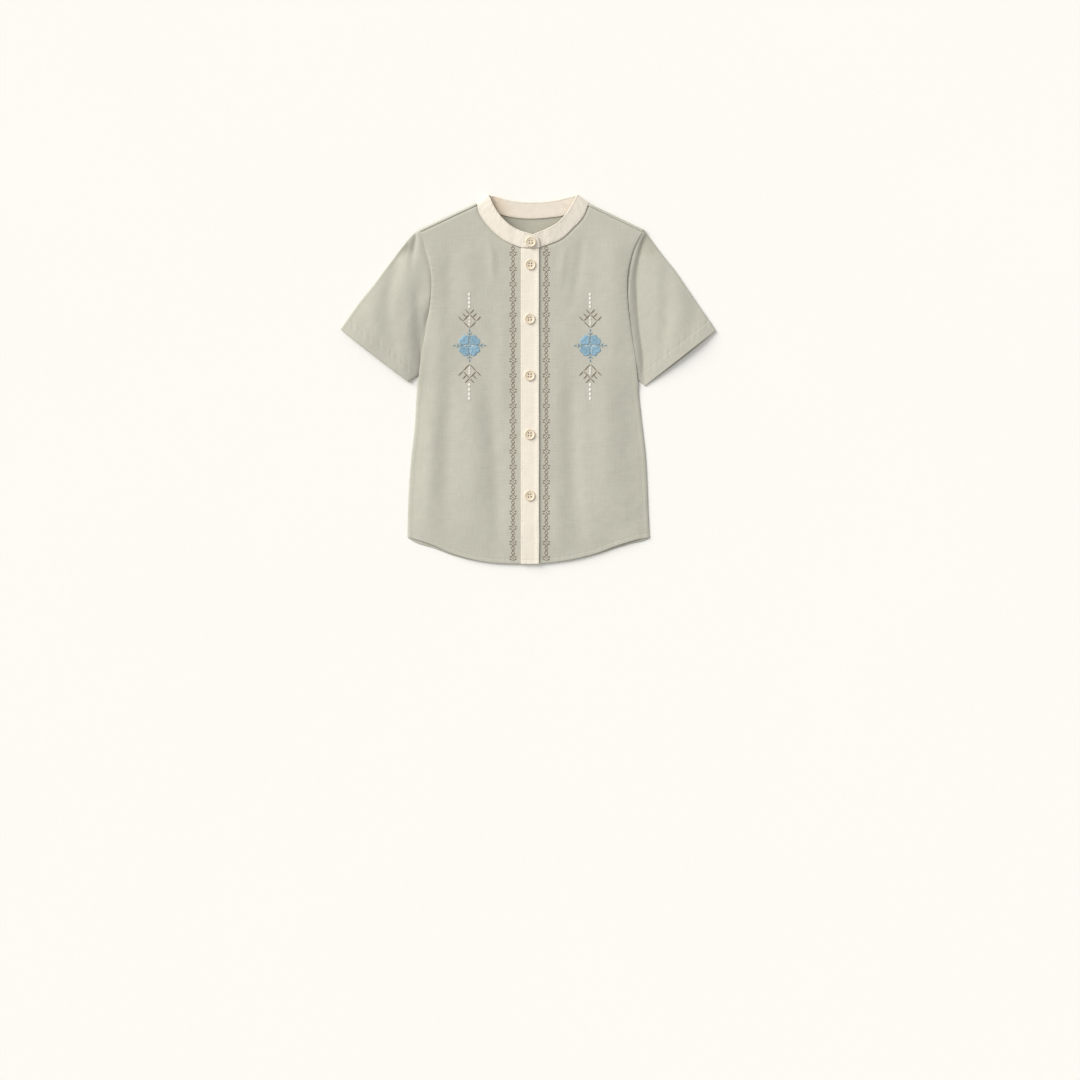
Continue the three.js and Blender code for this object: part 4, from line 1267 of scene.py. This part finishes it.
def painted_neck_shade_group():
    """Painted shade inside the neck: low cloth there is darkened to stand in for the shade under the collar
    and the fronts, most at the wearer's right end.
    """
    name = "Inside of the neck"
    if name in bpy.data.node_groups:
        return bpy.data.node_groups[name]
    tree, given, result = new_group(
        name,
        [
            ("Colour", "NodeSocketColor", (0.5, 0.5, 0.5, 1.0)),
            ("Place", "NodeSocketVector", (0.0, 0.0, 0.0)),
            ("Darkest shade", "NodeSocketColor", (0.8, 0.8, 0.8, 1.0)),
            ("Faint shade", "NodeSocketColor", (0.9, 0.9, 0.9, 1.0)),
            ("Left end", "NodeSocketFloat", 0.0),
        ],
        [("Colour", "NodeSocketColor")],
    )
    place = add_node(tree, "ShaderNodeSeparateXYZ", {0: given.outputs["Place"]})

    def eased(value, low, high):
        node = add_node(
            tree, "ShaderNodeMapRange", {"Value": value, "From Min": low, "From Max": high},
            interpolation_type="SMOOTHSTEP")
        return node.outputs["Result"]

    high_up = eased(place.outputs[1], 0.178, 0.2)
    off_floor = eased(place.outputs[2], 0.0002, 0.0004)
    low_down = eased(place.outputs[2], 0.0042, 0.003)
    # Painted shade mask: low cloth high up on the garment, inside the neck
    inside = calculate(tree, "MULTIPLY", calculate(tree, "MULTIPLY", high_up, off_floor), low_down)
    across = eased(place.outputs[0], -0.052, given.outputs["Left end"])
    tint = add_node(
        tree, "ShaderNodeMix", {"Factor": across, 6: given.outputs["Darkest shade"], 7: given.outputs["Faint shade"]},
        data_type="RGBA")
    tint = add_node(
        tree, "ShaderNodeMix", {"Factor": inside, 6: (1.0, 1.0, 1.0, 1.0), 7: tint.outputs[2]},
        data_type="RGBA")
    colour = add_node(
        tree, "ShaderNodeVectorMath", {0: given.outputs["Colour"], 1: tint.outputs[2]}, operation="MULTIPLY")
    tree.links.new(colour.outputs[0], result.inputs["Colour"])
    return tree


def plied_group():
    """Stranded thread: slanting bands round it, and a slow change of shade from stitch to stitch."""
    name = "Plied thread"
    if name in bpy.data.node_groups:
        return bpy.data.node_groups[name]
    tree, given, result = new_group(
        name,
        [
            ("Colour", "NodeSocketColor", (0.5, 0.5, 0.5, 1.0)),
            ("Thread", "NodeSocketVector", (0.0, 0.0, 0.0)),
            ("Place", "NodeSocketVector", (0.0, 0.0, 0.0)),
            ("Turns per metre", "NodeSocketFloat", 900.0),
        ],
        [("Colour", "NodeSocketColor"), ("Height", "NodeSocketFloat")],
    )
    split = add_node(tree, "ShaderNodeSeparateXYZ", {0: given.outputs["Thread"]})
    slant = calculate(tree, "MULTIPLY_ADD", split.outputs[1], 0.9, split.outputs[0])
    turns = calculate(tree, "MULTIPLY", slant, given.outputs["Turns per metre"])
    ply = calculate(tree, "SINE", calculate(tree, "MULTIPLY", turns, 2.0 * math.pi))
    drift = calculate(tree, "SUBTRACT", stretched_noise(tree, given.outputs["Place"], (260.0,) * 3), 0.5)
    shade = calculate(tree, "MULTIPLY_ADD", ply, 0.1, 0.97)
    shade = calculate(tree, "MULTIPLY_ADD", drift, 0.3, shade)
    colour = add_node(
        tree, "ShaderNodeVectorMath", {0: given.outputs["Colour"], "Scale": shade}, operation="SCALE")
    tree.links.new(colour.outputs[0], result.inputs["Colour"])
    tree.links.new(ply, result.inputs["Height"])
    return tree


def new_material(name, bump_distance, constants):
    """A material with its Principled shader and a Bump node, ready for its colour and height."""
    material = bpy.data.materials.new(name)
    material.use_nodes = True
    tree = material.node_tree
    shader = next(node for node in tree.nodes if node.type == "BSDF_PRINCIPLED")
    for key, value in constants.items():
        shader.inputs[key].default_value = value
    bump = add_node(tree, "ShaderNodeBump", {"Distance": bump_distance, "Strength": 1.0})
    tree.links.new(bump.outputs["Normal"], shader.inputs["Normal"])
    return material, tree, shader, bump


def cloth_material(name, colour, slub, mottle, threads, darkest_shade, faint_shade, left_end):
    """Matt plain-weave cloth with a little sheen, with painted shade that darkens its colour inside the neck.
    """
    if name in bpy.data.materials:
        return bpy.data.materials[name]
    material, tree, shader, bump = new_material(
        name, 0.00012,
        {"Roughness": 0.88, "Sheen Weight": 0.12, "Sheen Roughness": 0.5, "Specular IOR Level": 0.2})
    place = add_node(tree, "ShaderNodeUVMap", uv_map="Cloth")
    weave = add_node(tree, "ShaderNodeGroup", node_tree=woven_group())
    weave.inputs["Colour"].default_value = (*colour, 1.0)
    weave.inputs["Threads per metre"].default_value = threads
    weave.inputs["Slub"].default_value = slub
    weave.inputs["Mottle"].default_value = mottle
    tree.links.new(place.outputs[0], weave.inputs["Cloth"])
    # Painted shade: the colour is darkened inside the neck, where the collar and the fronts shade the low
    # cloth
    inside = add_node(tree, "ShaderNodeGroup", node_tree=painted_neck_shade_group())
    inside.inputs["Darkest shade"].default_value = (*darkest_shade, 1.0)
    inside.inputs["Faint shade"].default_value = (*faint_shade, 1.0)
    inside.inputs["Left end"].default_value = left_end
    tree.links.new(add_node(tree, "ShaderNodeTexCoord").outputs["Object"], inside.inputs["Place"])
    tree.links.new(weave.outputs["Colour"], inside.inputs["Colour"])
    tree.links.new(inside.outputs["Colour"], shader.inputs["Base Color"])
    tree.links.new(weave.outputs["Height"], bump.inputs["Height"])
    return material


def thread_material(name, colour, sheen):
    """Stranded thread with a soft gloss along it."""
    if name in bpy.data.materials:
        return bpy.data.materials[name]
    material, tree, shader, bump = new_material(
        name, 0.00006,
        {"Roughness": 0.62, "Sheen Weight": sheen, "Sheen Roughness": 0.4, "Specular IOR Level": 0.4})
    thread_place = add_node(tree, "ShaderNodeUVMap", uv_map="Cloth")
    place = add_node(tree, "ShaderNodeTexCoord")
    ply = add_node(tree, "ShaderNodeGroup", node_tree=plied_group())
    ply.inputs["Colour"].default_value = (*colour, 1.0)
    tree.links.new(thread_place.outputs[0], ply.inputs["Thread"])
    tree.links.new(place.outputs["Object"], ply.inputs["Place"])
    tree.links.new(ply.outputs["Colour"], shader.inputs["Base Color"])
    tree.links.new(ply.outputs["Height"], bump.inputs["Height"])
    return material


def sage_cloth():
    """The cloth of the body and the sleeves."""
    cloth = bpy.context.scene.kurta_cloth
    # The two tints are painted shade inside the neck, darkest at the wearer's right end
    return cloth_material(
        "Sage cloth", cloth.sage, 0.16, 0.07, 2100.0, (0.66, 0.65, 0.62), (0.92, 0.91, 0.89), 0.015)


def cream_cloth():
    """The cloth of the collar, the placket and the button stand."""
    cloth = bpy.context.scene.kurta_cloth
    # The two tints are painted shade on the low back of the collar, darkest at the wearer's right end
    return cloth_material(
        "Cream cloth", cloth.cream, 0.09, 0.04, 2300.0, (0.85, 0.78, 0.7), (0.99, 0.97, 0.95), -0.01)


def sage_thread():
    """Sewing thread a tenth lighter than the sage cloth."""
    pale = [shade * 1.1 for shade in bpy.context.scene.kurta_cloth.sage]
    return thread_material("Sage thread", pale, 0.1)


def cream_thread():
    """Sewing thread in the colour of the cream cloth."""
    return thread_material("Cream thread", bpy.context.scene.kurta_cloth.cream, 0.1)


def button_material():
    """Cream resin with faint clouds, a satin face and a thin gloss."""
    name = "Button resin"
    if name in bpy.data.materials:
        return bpy.data.materials[name]
    colour = bpy.context.scene.kurta_buttons.colour
    material, tree, shader, bump = new_material(
        name, 0.00003,
        {"Roughness": 0.34, "Coat Weight": 0.15, "Coat Roughness": 0.2, "Specular IOR Level": 0.5})
    place = add_node(tree, "ShaderNodeTexCoord").outputs["Object"]
    cloud = stretched_noise(tree, place, (240.0, 120.0, 240.0), 3.0)
    shade = calculate(tree, "MULTIPLY_ADD", cloud, 0.16, 0.92)
    tinted = add_node(tree, "ShaderNodeVectorMath", {0: tuple(colour), "Scale": shade}, operation="SCALE")
    tree.links.new(tinted.outputs[0], shader.inputs["Base Color"])
    tree.links.new(stretched_noise(tree, place, (1800.0,) * 3), bump.inputs["Height"])
    return material


def dress(piece, material, nodes=()):
    """Gives a piece its material, hangs it on the root body, and hides the solids it stands for."""
    piece.data.materials.append(material)
    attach(piece, "root")
    if nodes:
        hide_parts(*nodes)
    return piece


def surface_grid(surface, u, v):
    """Points of a surface over a grid: rows by v, columns by u."""
    return surface(np.stack(np.meshgrid(u, v), -1))


# ---------------------------------------------------------------- pieces


class KURTA_OT_back(bpy.types.Operator):
    """Back: one level panel that turns over the shoulders, with a turned hem"""

    bl_idname = "kurta.back"
    bl_label = "Back"

    def execute(self, context):
        cloth = context.scene.kurta_cloth
        thickness = cloth.thickness / MM
        columns = spans(
            (0.0, NECK_START, 26), (NECK_START, NECK_START + WRAP_TUCK, 2),
            (NECK_START + WRAP_TUCK, NECK_END - WRAP_TUCK, 60), (NECK_END - WRAP_TUCK, NECK_END, 2),
            (NECK_END, 1.0, 26))
        rows = spans((-1.0, 0.0, 14), (0.0, ARMHOLE_SHARE, 70), (ARMHOLE_SHARE, 0.97, 90), (0.97, 1.0, 22))
        u, v = np.meshgrid(columns, rows)
        surface = back_point(cloth, u, v)
        from_hem = distance_to(BACK_HEM_LINE, surface[..., :2])
        doubled = thickness * smooth(cloth.hem_width / MM + 0.6, cloth.hem_width / MM - 0.2, from_hem)
        surface[..., 2] += doubled
        on_shoulder = (columns[1:] <= NECK_START + WRAP_TUCK) | (columns[:-1] >= NECK_END - WRAP_TUCK)
        keep = (rows[:-1] >= 0.0)[:, None] | on_shoulder[None]
        inset = np.where(v > 0.5, (thickness + doubled) / 2 - round_edge(from_hem, thickness + doubled), 0.0)
        piece = shell_piece("back_cloth", surface, thickness + doubled, surface[..., :2], inset, keep=keep)
        dress(piece, sage_cloth(), ["back"])
        return {"FINISHED"}


class KURTA_OT_fronts(bpy.types.Operator):
    """Fronts: a right and a left panel with folds, a rolled side and a turned hem"""

    bl_idname = "kurta.fronts"
    bl_label = "Fronts"

    def execute(self, context):
        cloth = context.scene.kurta_cloth
        thickness = cloth.thickness / MM
        columns = spans((0.0, 0.8, 72), (0.8, 1.0, 12))
        rows = spans((-1.0, 0.0, 3), (0.0, 0.02, 5), (0.02, 0.26, 58), (0.26, 0.97, 158), (0.97, 1.0, 24))
        u, v = np.meshgrid(columns, rows)
        for name, side in SIDES.items():
            plan = front_plan(side, u, v)
            surface = front_surface(side, cloth)(plan)
            from_hem = distance_to(FRONT_HEM_LINE, plan)
            hem = cloth.hem_width / MM
            full = thickness * (1.0 + smooth(hem + 0.6, hem - 0.2, from_hem))
            inset = np.where(v > 0.5, full / 2 - round_edge(from_hem, full), 0.0)
            piece = shell_piece(
                f"{name}_front_cloth", surface, full, plan, inset, flip=side["outward"] < 0)
            dress(piece, sage_cloth(), [f"{name}_front"])
        return {"FINISHED"}


class KURTA_OT_sleeves(bpy.types.Operator):
    """Sleeves: two flattened tubes with folds and turned hems, set in under the edge of the body"""

    bl_idname = "kurta.sleeves"
    bl_label = "Sleeves"

    def execute(self, context):
        cloth = context.scene.kurta_cloth
        thickness = cloth.thickness / MM
        columns = spans((0.0, 0.2, 14), (0.2, 0.6, 62), (0.6, 0.75, 10), (0.75, 1.0, 34))[:-1]
        rows = spans((-1.0, 0.0, 3), (0.0, 0.1, 10), (0.1, 0.82, 52), (0.82, 0.98, 28), (0.98, 1.0, 7))
        for name, side in SIDES.items():
            surface = surface_grid(sleeve_surface(side, cloth), columns, rows)
            from_hem = sleeve_from_hem(*np.meshgrid(columns, rows))
            hem = cloth.sleeve_hem / MM
            full = thickness * (1.0 + smooth(hem + 0.6, hem - 0.2, from_hem))
            inset = full / 2 - round_edge(from_hem, full)
            looped = np.concatenate([surface, surface[:, :1]], axis=1)
            steps = np.linalg.norm(np.diff(looped, axis=1), axis=-1).mean(axis=0)
            round_it = np.concatenate([[0.0], steps[:-1].cumsum()])
            places = np.stack(np.broadcast_arrays(round_it, -from_hem), -1)
            piece = shell_piece(
                f"{name}_sleeve_cloth", surface, full, places, inset, closed=True,
                flip=side["outward"] > 0, around=steps.sum())
            dress(piece, sage_cloth(), [f"{name}_sleeve"])
        return {"FINISHED"}


class KURTA_OT_collar(bpy.types.Operator):
    """Collar: a doubled band whose right end laps over its left end"""

    bl_idname = "kurta.collar"
    bl_label = "Collar"

    def execute(self, context):
        cloth = context.scene.kurta_cloth
        thickness = cloth.collar_thickness / MM
        columns = spans((0.0, 0.006, 4), (0.006, 0.994, 300), (0.994, 1.0, 4))
        rows = spans((0.0, 0.05, 5), (0.05, 0.14, 5), (0.14, 0.86, 10), (0.86, 0.95, 5), (0.95, 1.0, 5))
        surface = surface_grid(collar_surface, columns, rows)
        high = np.linalg.norm(surface[-1] - surface[0], axis=-1)[None]
        long = np.array([line_lengths(line) for line in surface])
        up = rows[:, None] * high
        from_edge = np.minimum(np.minimum(up, high - up), np.minimum(long, long[:, -1:] - long))
        inset = thickness / 2 - round_edge(from_edge, thickness) + 0.12 * bell(from_edge - 2.0, 0.6)
        places = np.stack(np.broadcast_arrays(long[len(rows) // 2][None], up), -1)
        piece = shell_piece("collar_cloth", surface, thickness, places, inset)
        dress(piece, cream_cloth(), ["collar"])
        return {"FINISHED"}


class KURTA_OT_placket(bpy.types.Operator):
    """Placket and the button stand beneath it"""

    bl_idname = "kurta.placket"
    bl_label = "Placket and button stand"

    def execute(self, context):
        cloth = context.scene.kurta_cloth
        thickness = cloth.collar_thickness / MM
        columns = spans((0.0, 0.04, 6), (0.04, 0.14, 6), (0.14, 0.86, 14), (0.86, 0.96, 6), (0.96, 1.0, 6))
        rows = spans((0.0, 0.98, 300), (0.98, 0.998, 14), (0.998, 1.0, 5))
        surface = surface_grid(placket_surface(cloth), columns, rows)
        x, y = surface[..., 0], surface[..., 1]
        from_hem = y - height_at(FRONT_HEM_LINE, x)
        from_edge = np.minimum(np.minimum(x - PLACKET_LEFT, PLACKET_RIGHT - x), from_hem)
        inset = thickness / 2 - round_edge(from_edge, thickness)
        piece = shell_piece("placket_cloth", surface, thickness, surface[..., :2], inset)
        dress(piece, cream_cloth(), ["placket"])
        stand_surface = strip_surface(STAND_LEFT, STAND_RIGHT, PLACKET_TOP, lambda x, y: np.zeros(x.shape))
        surface = surface_grid(stand_surface, spans((0.0, 1.0, 12)), spans((0.0, 1.0, 160)))
        piece = shell_piece("button_stand_cloth", surface, cloth.thickness / MM, surface[..., :2])
        dress(piece, cream_cloth(), ["button_stand"])
        return {"FINISHED"}


class KURTA_OT_buttons(bpy.types.Operator):
    """Buttons: six round buttons with a raised rim and four holes, sewn on with two bars of thread"""

    bl_idname = "kurta.buttons"
    bl_label = "Buttons"

    def execute(self, context):
        sizes = context.scene.kurta_buttons
        points, faces = button_mesh(sizes)
        thread = cream_thread()
        hole_shade = thread_material("Shank thread", sizes.hole_shade, 0.1)
        cloth = context.scene.kurta_cloth
        plan = np.array(BUTTONS)
        place = find_places(collar_surface, plan[:1], (0.06, 0.5), (0.0006, 0.02))
        base = [collar_surface(place)[0, 2]]
        place = find_places(placket_surface(cloth), plan[1:], (0.5, 0.5), (0.01, 0.001))
        base += list(placket_surface(cloth)(place)[:, 2])
        for k in range(len(BUTTONS)):
            low, high = (np.array(corner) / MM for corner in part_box(f"button_{k + 1}"))
            centre = (low + high)[:2] / 2.0 - PLAN_ORIGIN
            turn = [0.05, -0.04, 0.1, -0.08, 0.03, 0.12][k]
            spin = np.array([[math.cos(turn), -math.sin(turn)], [math.sin(turn), math.cos(turn)]])
            placed = points.copy()
            placed[:, :2] = points[:, :2] @ spin.T + centre
            placed[:, 2] += base[k]
            button = mesh_piece(f"button_{k + 1}_resin", placed, faces, sharp=math.radians(48.0))
            dress(button, button_material(), [f"button_{k + 1}"])
            reach = sizes.hole_spacing / MM / 2.0
            bars = [(-reach, side * reach + gap, reach, side * reach + gap)
                    for side in (-1, 1) for gap in (-0.14, 0.14)]
            starts, ends = (ends @ spin.T + centre for ends in pairs(bars))
            face = button_face(sizes, centre, base[k])
            batch = thread_mesh(face, starts, ends, 0.13, rings=9, rise=0.7)
            dress(thread_piece(f"button_{k + 1}_thread", [batch]), thread)
            # Painted shade: dark thread dots under the four holes stand for the shade down in the holes
            dots = [satin_dot(x * reach, y * reach, 0.95, 5) for x in (-1, 1) for y in (-1, 1)]
            starts, ends = (ends @ spin.T + centre for ends in pairs(np.concatenate(dots)))
            batch = thread_mesh(level_face(base[k] + 0.08), starts, ends, 0.22)
            dress(thread_piece(f"button_{k + 1}_shank", [batch]), hole_shade)
        return {"FINISHED"}


class KURTA_OT_sewing(bpy.types.Operator):
    """Sewing: topstitched hems and edges, and the bars round the buttonholes"""

    bl_idname = "kurta.sewing"
    bl_label = "Sewing"

    def execute(self, context):
        cloth, sewing = context.scene.kurta_cloth, context.scene.kurta_sewing
        length, radius = sewing.stitch_length / MM, sewing.sewing_thread / MM
        gap = 0.55
        for name, side in SIDES.items():
            line = moved_line(FRONT_HEM_LINE, cloth.hem_width / MM)
            line = read_line(line, np.linspace(0.0, 1.0, 600))
            inside = (line[:, 0] * side["outward"] > 16.0) & (distance_to(side["outer_line"], line) > 1.2)
            surface = front_surface(side, cloth)
            batch = thread_mesh(surface, *stitch_places(surface, line[inside], length, gap), radius)
            dress(thread_piece(f"{name}_front_stitching", [batch]), sage_thread())
            surface = sleeve_surface(side, cloth)
            u = np.linspace(0.09, 0.685, 300)
            hem = cloth.sleeve_hem / MM
            line = np.stack([u, 1.0 - hem / sleeve_from_hem(u, np.zeros(300))], -1)
            batch = thread_mesh(
                surface, *stitch_places(surface, line, length, gap), radius, step=(0.001, 0.002),
                flip=side["outward"] < 0)
            dress(thread_piece(f"{name}_sleeve_stitching", [batch]), sage_thread())
        stitching = []
        step = (0.0006, 0.02)
        thickness = cloth.collar_thickness / MM
        inside = inner_face(collar_surface, thickness, step)
        for surface, flip, low, high in [(collar_surface, True, 0.004, 0.996), (inside, False, 0.3, 0.76)]:
            u = np.linspace(low, high, 700)
            reach = np.linalg.norm(
                collar_surface(np.stack([u, u * 0.0 + 1.0], -1)) - collar_surface(np.stack([u, u * 0.0], -1)),
                axis=-1)
            for v in (2.0 / reach, 1.0 - 2.0 / reach):
                places = stitch_places(surface, np.stack([u, v], -1), length, gap)
                stitching.append(thread_mesh(surface, *places, radius, step=step, flip=flip))
        starts, ends = pairs(buttonhole(0.0, 9.0)[:, [1, 0, 3, 2]] + [1.0, 206.0, 1.0, 206.0])
        places = [find_places(collar_surface, plan, (0.07, 0.5), step) for plan in (starts, ends)]
        stitching.append(thread_mesh(collar_surface, *places, radius, step=step, rings=3, flip=True))
        dress(thread_piece("collar_stitching", stitching), cream_thread())
        stitching = []
        step = (0.01, 0.001)
        surface = placket_surface(cloth)
        v = np.linspace(0.006, 0.998, 700)
        lines = [np.stack([np.full(700, u), v], -1) for u in (2.0 / 27.0, 25.0 / 27.0)]
        lines.append(
            np.stack([np.linspace(0.08, 0.92, 40), np.full(40, 1.0 - cloth.hem_width / MM / 475.0)], -1))
        for line in lines:
            places = stitch_places(surface, line, length, gap)
            stitching.append(thread_mesh(surface, *places, radius, step))
        for x, y in BUTTONS[1:]:
            plan = pairs(buttonhole(0.0, 9.2) + [x, y, x, y])
            places = [find_places(surface, ends, (0.5, 0.5), step) for ends in plan]
            stitching.append(thread_mesh(surface, *places, radius, step=step, rings=3))
        dress(thread_piece("placket_stitching", stitching), cream_thread())
        return {"FINISHED"}


class KURTA_OT_embroidery(bpy.types.Operator):
    """Embroidery: two strips beside the placket and a flower between comb diamonds on each front"""

    bl_idname = "kurta.embroidery"
    bl_label = "Embroidery"

    def execute(self, context):
        cloth, sewing = context.scene.kurta_cloth, context.scene.kurta_sewing
        radius = sewing.embroidery_thread / MM
        for name, side in SIDES.items():
            surface = front_surface(side, cloth)
            for colour, rows in front_chart(name).items():
                material = thread_material(f"{colour.title()} thread", getattr(sewing, colour), 0.25)
                swell = {"brown": 1.22, "slate": 0.9}.get(colour, 1.0)
                swell = np.where(np.abs(rows[:, 0] - STRIPS[name]) < 8.0, 0.94, swell)
                batch = thread_mesh(surface, *pairs(rows), radius * swell)
                piece = thread_piece(f"{name}_front_embroidery_{colour}", [batch])
                dress(piece, material)
        return {"FINISHED"}


class KURTA_OT_cuts(bpy.types.Operator):
    """Cuts: a step that does nothing"""

    bl_idname = "kurta.cuts"
    bl_label = "Cuts"

    def execute(self, context):
        return {"FINISHED"}


# The names of the stitching and embroidery on each front, built and not used
for name in SIDES:
    sewn = [f"{name}_front_stitching"]
    sewn += [f"{name}_front_embroidery_{colour}" for colour in ("brown", "blue", "slate", "white")]


class KURTA_OT_stage(bpy.types.Operator):
    """Stage: a pale floor, a soft key light, fill from all round and the camera"""

    bl_idname = "kurta.stage"
    bl_label = "Stage"

    def execute(self, context):
        stage = context.scene.kurta_stage
        middle = (np.array([16.9, -240.0]) + PLAN_ORIGIN) * MM
        bpy.ops.mesh.primitive_plane_add(size=12.0, location=(middle[0], middle[1], -0.0002))
        floor = context.object
        floor.name = "floor"
        material, tree, shader, bump = new_material(
            "Paper floor", 0.0002, {"Roughness": 0.9, "Specular IOR Level": 0.1})
        place = add_node(tree, "ShaderNodeTexCoord").outputs["Object"]
        shade = calculate(tree, "MULTIPLY_ADD", stretched_noise(tree, place, (3.0,) * 3), 0.01, 0.995)
        tint = add_node(
            tree, "ShaderNodeVectorMath", {0: tuple(stage.floor), "Scale": shade}, operation="SCALE")
        tree.links.new(tint.outputs[0], shader.inputs["Base Color"])
        tree.links.new(stretched_noise(tree, place, (700.0,) * 3), bump.inputs["Height"])
        floor.data.materials.append(material)
        light = bpy.data.lights.new("key", "SUN")
        light.energy = stage.sun_strength
        light.angle = math.radians(40.0)
        light.color = (1.0, 0.985, 0.955)
        key = bpy.data.objects.new("key", light)
        context.scene.collection.objects.link(key)
        key.rotation_euler = (math.pi / 2.0 - stage.sun_height, 0.0, math.radians(180.0 + 52.0))
        world = bpy.data.worlds.new("Fill")
        world.use_nodes = True
        background = world.node_tree.nodes["Background"]
        background.inputs["Color"].default_value = (1.0, 0.995, 0.985, 1.0)
        background.inputs["Strength"].default_value = stage.sky_strength
        context.scene.world = world
        camera = bpy.data.cameras.new("camera")
        camera.lens = stage.lens
        camera.sensor_width = 36.0
        eye = bpy.data.objects.new("camera", camera)
        eye.location = (middle[0], middle[1], stage.view_width * stage.lens / camera.sensor_width)
        context.scene.collection.objects.link(eye)
        context.scene.camera = eye
        context.scene.view_settings.view_transform = "Standard"
        return {"FINISHED"}


class KURTA_PT_panel(bpy.types.Panel):
    """The steps that build the kurta, and their sizes and colours"""

    bl_idname = "KURTA_PT_panel"
    bl_label = "Kurta"
    bl_space_type = "VIEW_3D"
    bl_region_type = "UI"
    bl_category = "Kurta"

    def draw(self, context):
        for name in OPERATORS:
            self.layout.operator(name)
        for key in SETTINGS:
            box = self.layout.box()
            group = getattr(context.scene, key)
            for size in group.__annotations__:
                box.prop(group, size)


SETTINGS = {
    "kurta_cloth": KurtaCloth,
    "kurta_sewing": KurtaSewing,
    "kurta_buttons": KurtaButtons,
    "kurta_stage": KurtaStage,
}
OPERATOR_CLASSES = [
    KURTA_OT_back, KURTA_OT_fronts, KURTA_OT_sleeves, KURTA_OT_collar, KURTA_OT_placket,
    KURTA_OT_buttons, KURTA_OT_sewing, KURTA_OT_embroidery, KURTA_OT_cuts, KURTA_OT_stage,
]
OPERATORS = [kind.bl_idname for kind in OPERATOR_CLASSES]


def register():
    """Registers every class, and hangs the sizes and colours on the scene."""
    for kind in [*SETTINGS.values(), *OPERATOR_CLASSES, KURTA_PT_panel]:
        bpy.utils.register_class(kind)
    for key, kind in SETTINGS.items():
        setattr(bpy.types.Scene, key, bpy.props.PointerProperty(type=kind))


def unregister():
    """Takes back what register added."""
    for key in SETTINGS:
        delattr(bpy.types.Scene, key)
    for kind in reversed([*SETTINGS.values(), *OPERATOR_CLASSES, KURTA_PT_panel]):
        bpy.utils.unregister_class(kind)


def main():
    """Runs every operator in order, and stops with an error if one does not finish."""
    register()
    for name in OPERATORS:
        group, _, step = name.partition(".")
        if getattr(getattr(bpy.ops, group), step)() != {"FINISHED"}:
            raise RuntimeError(f"{name} did not finish")


if __name__ == "__main__":
    main()
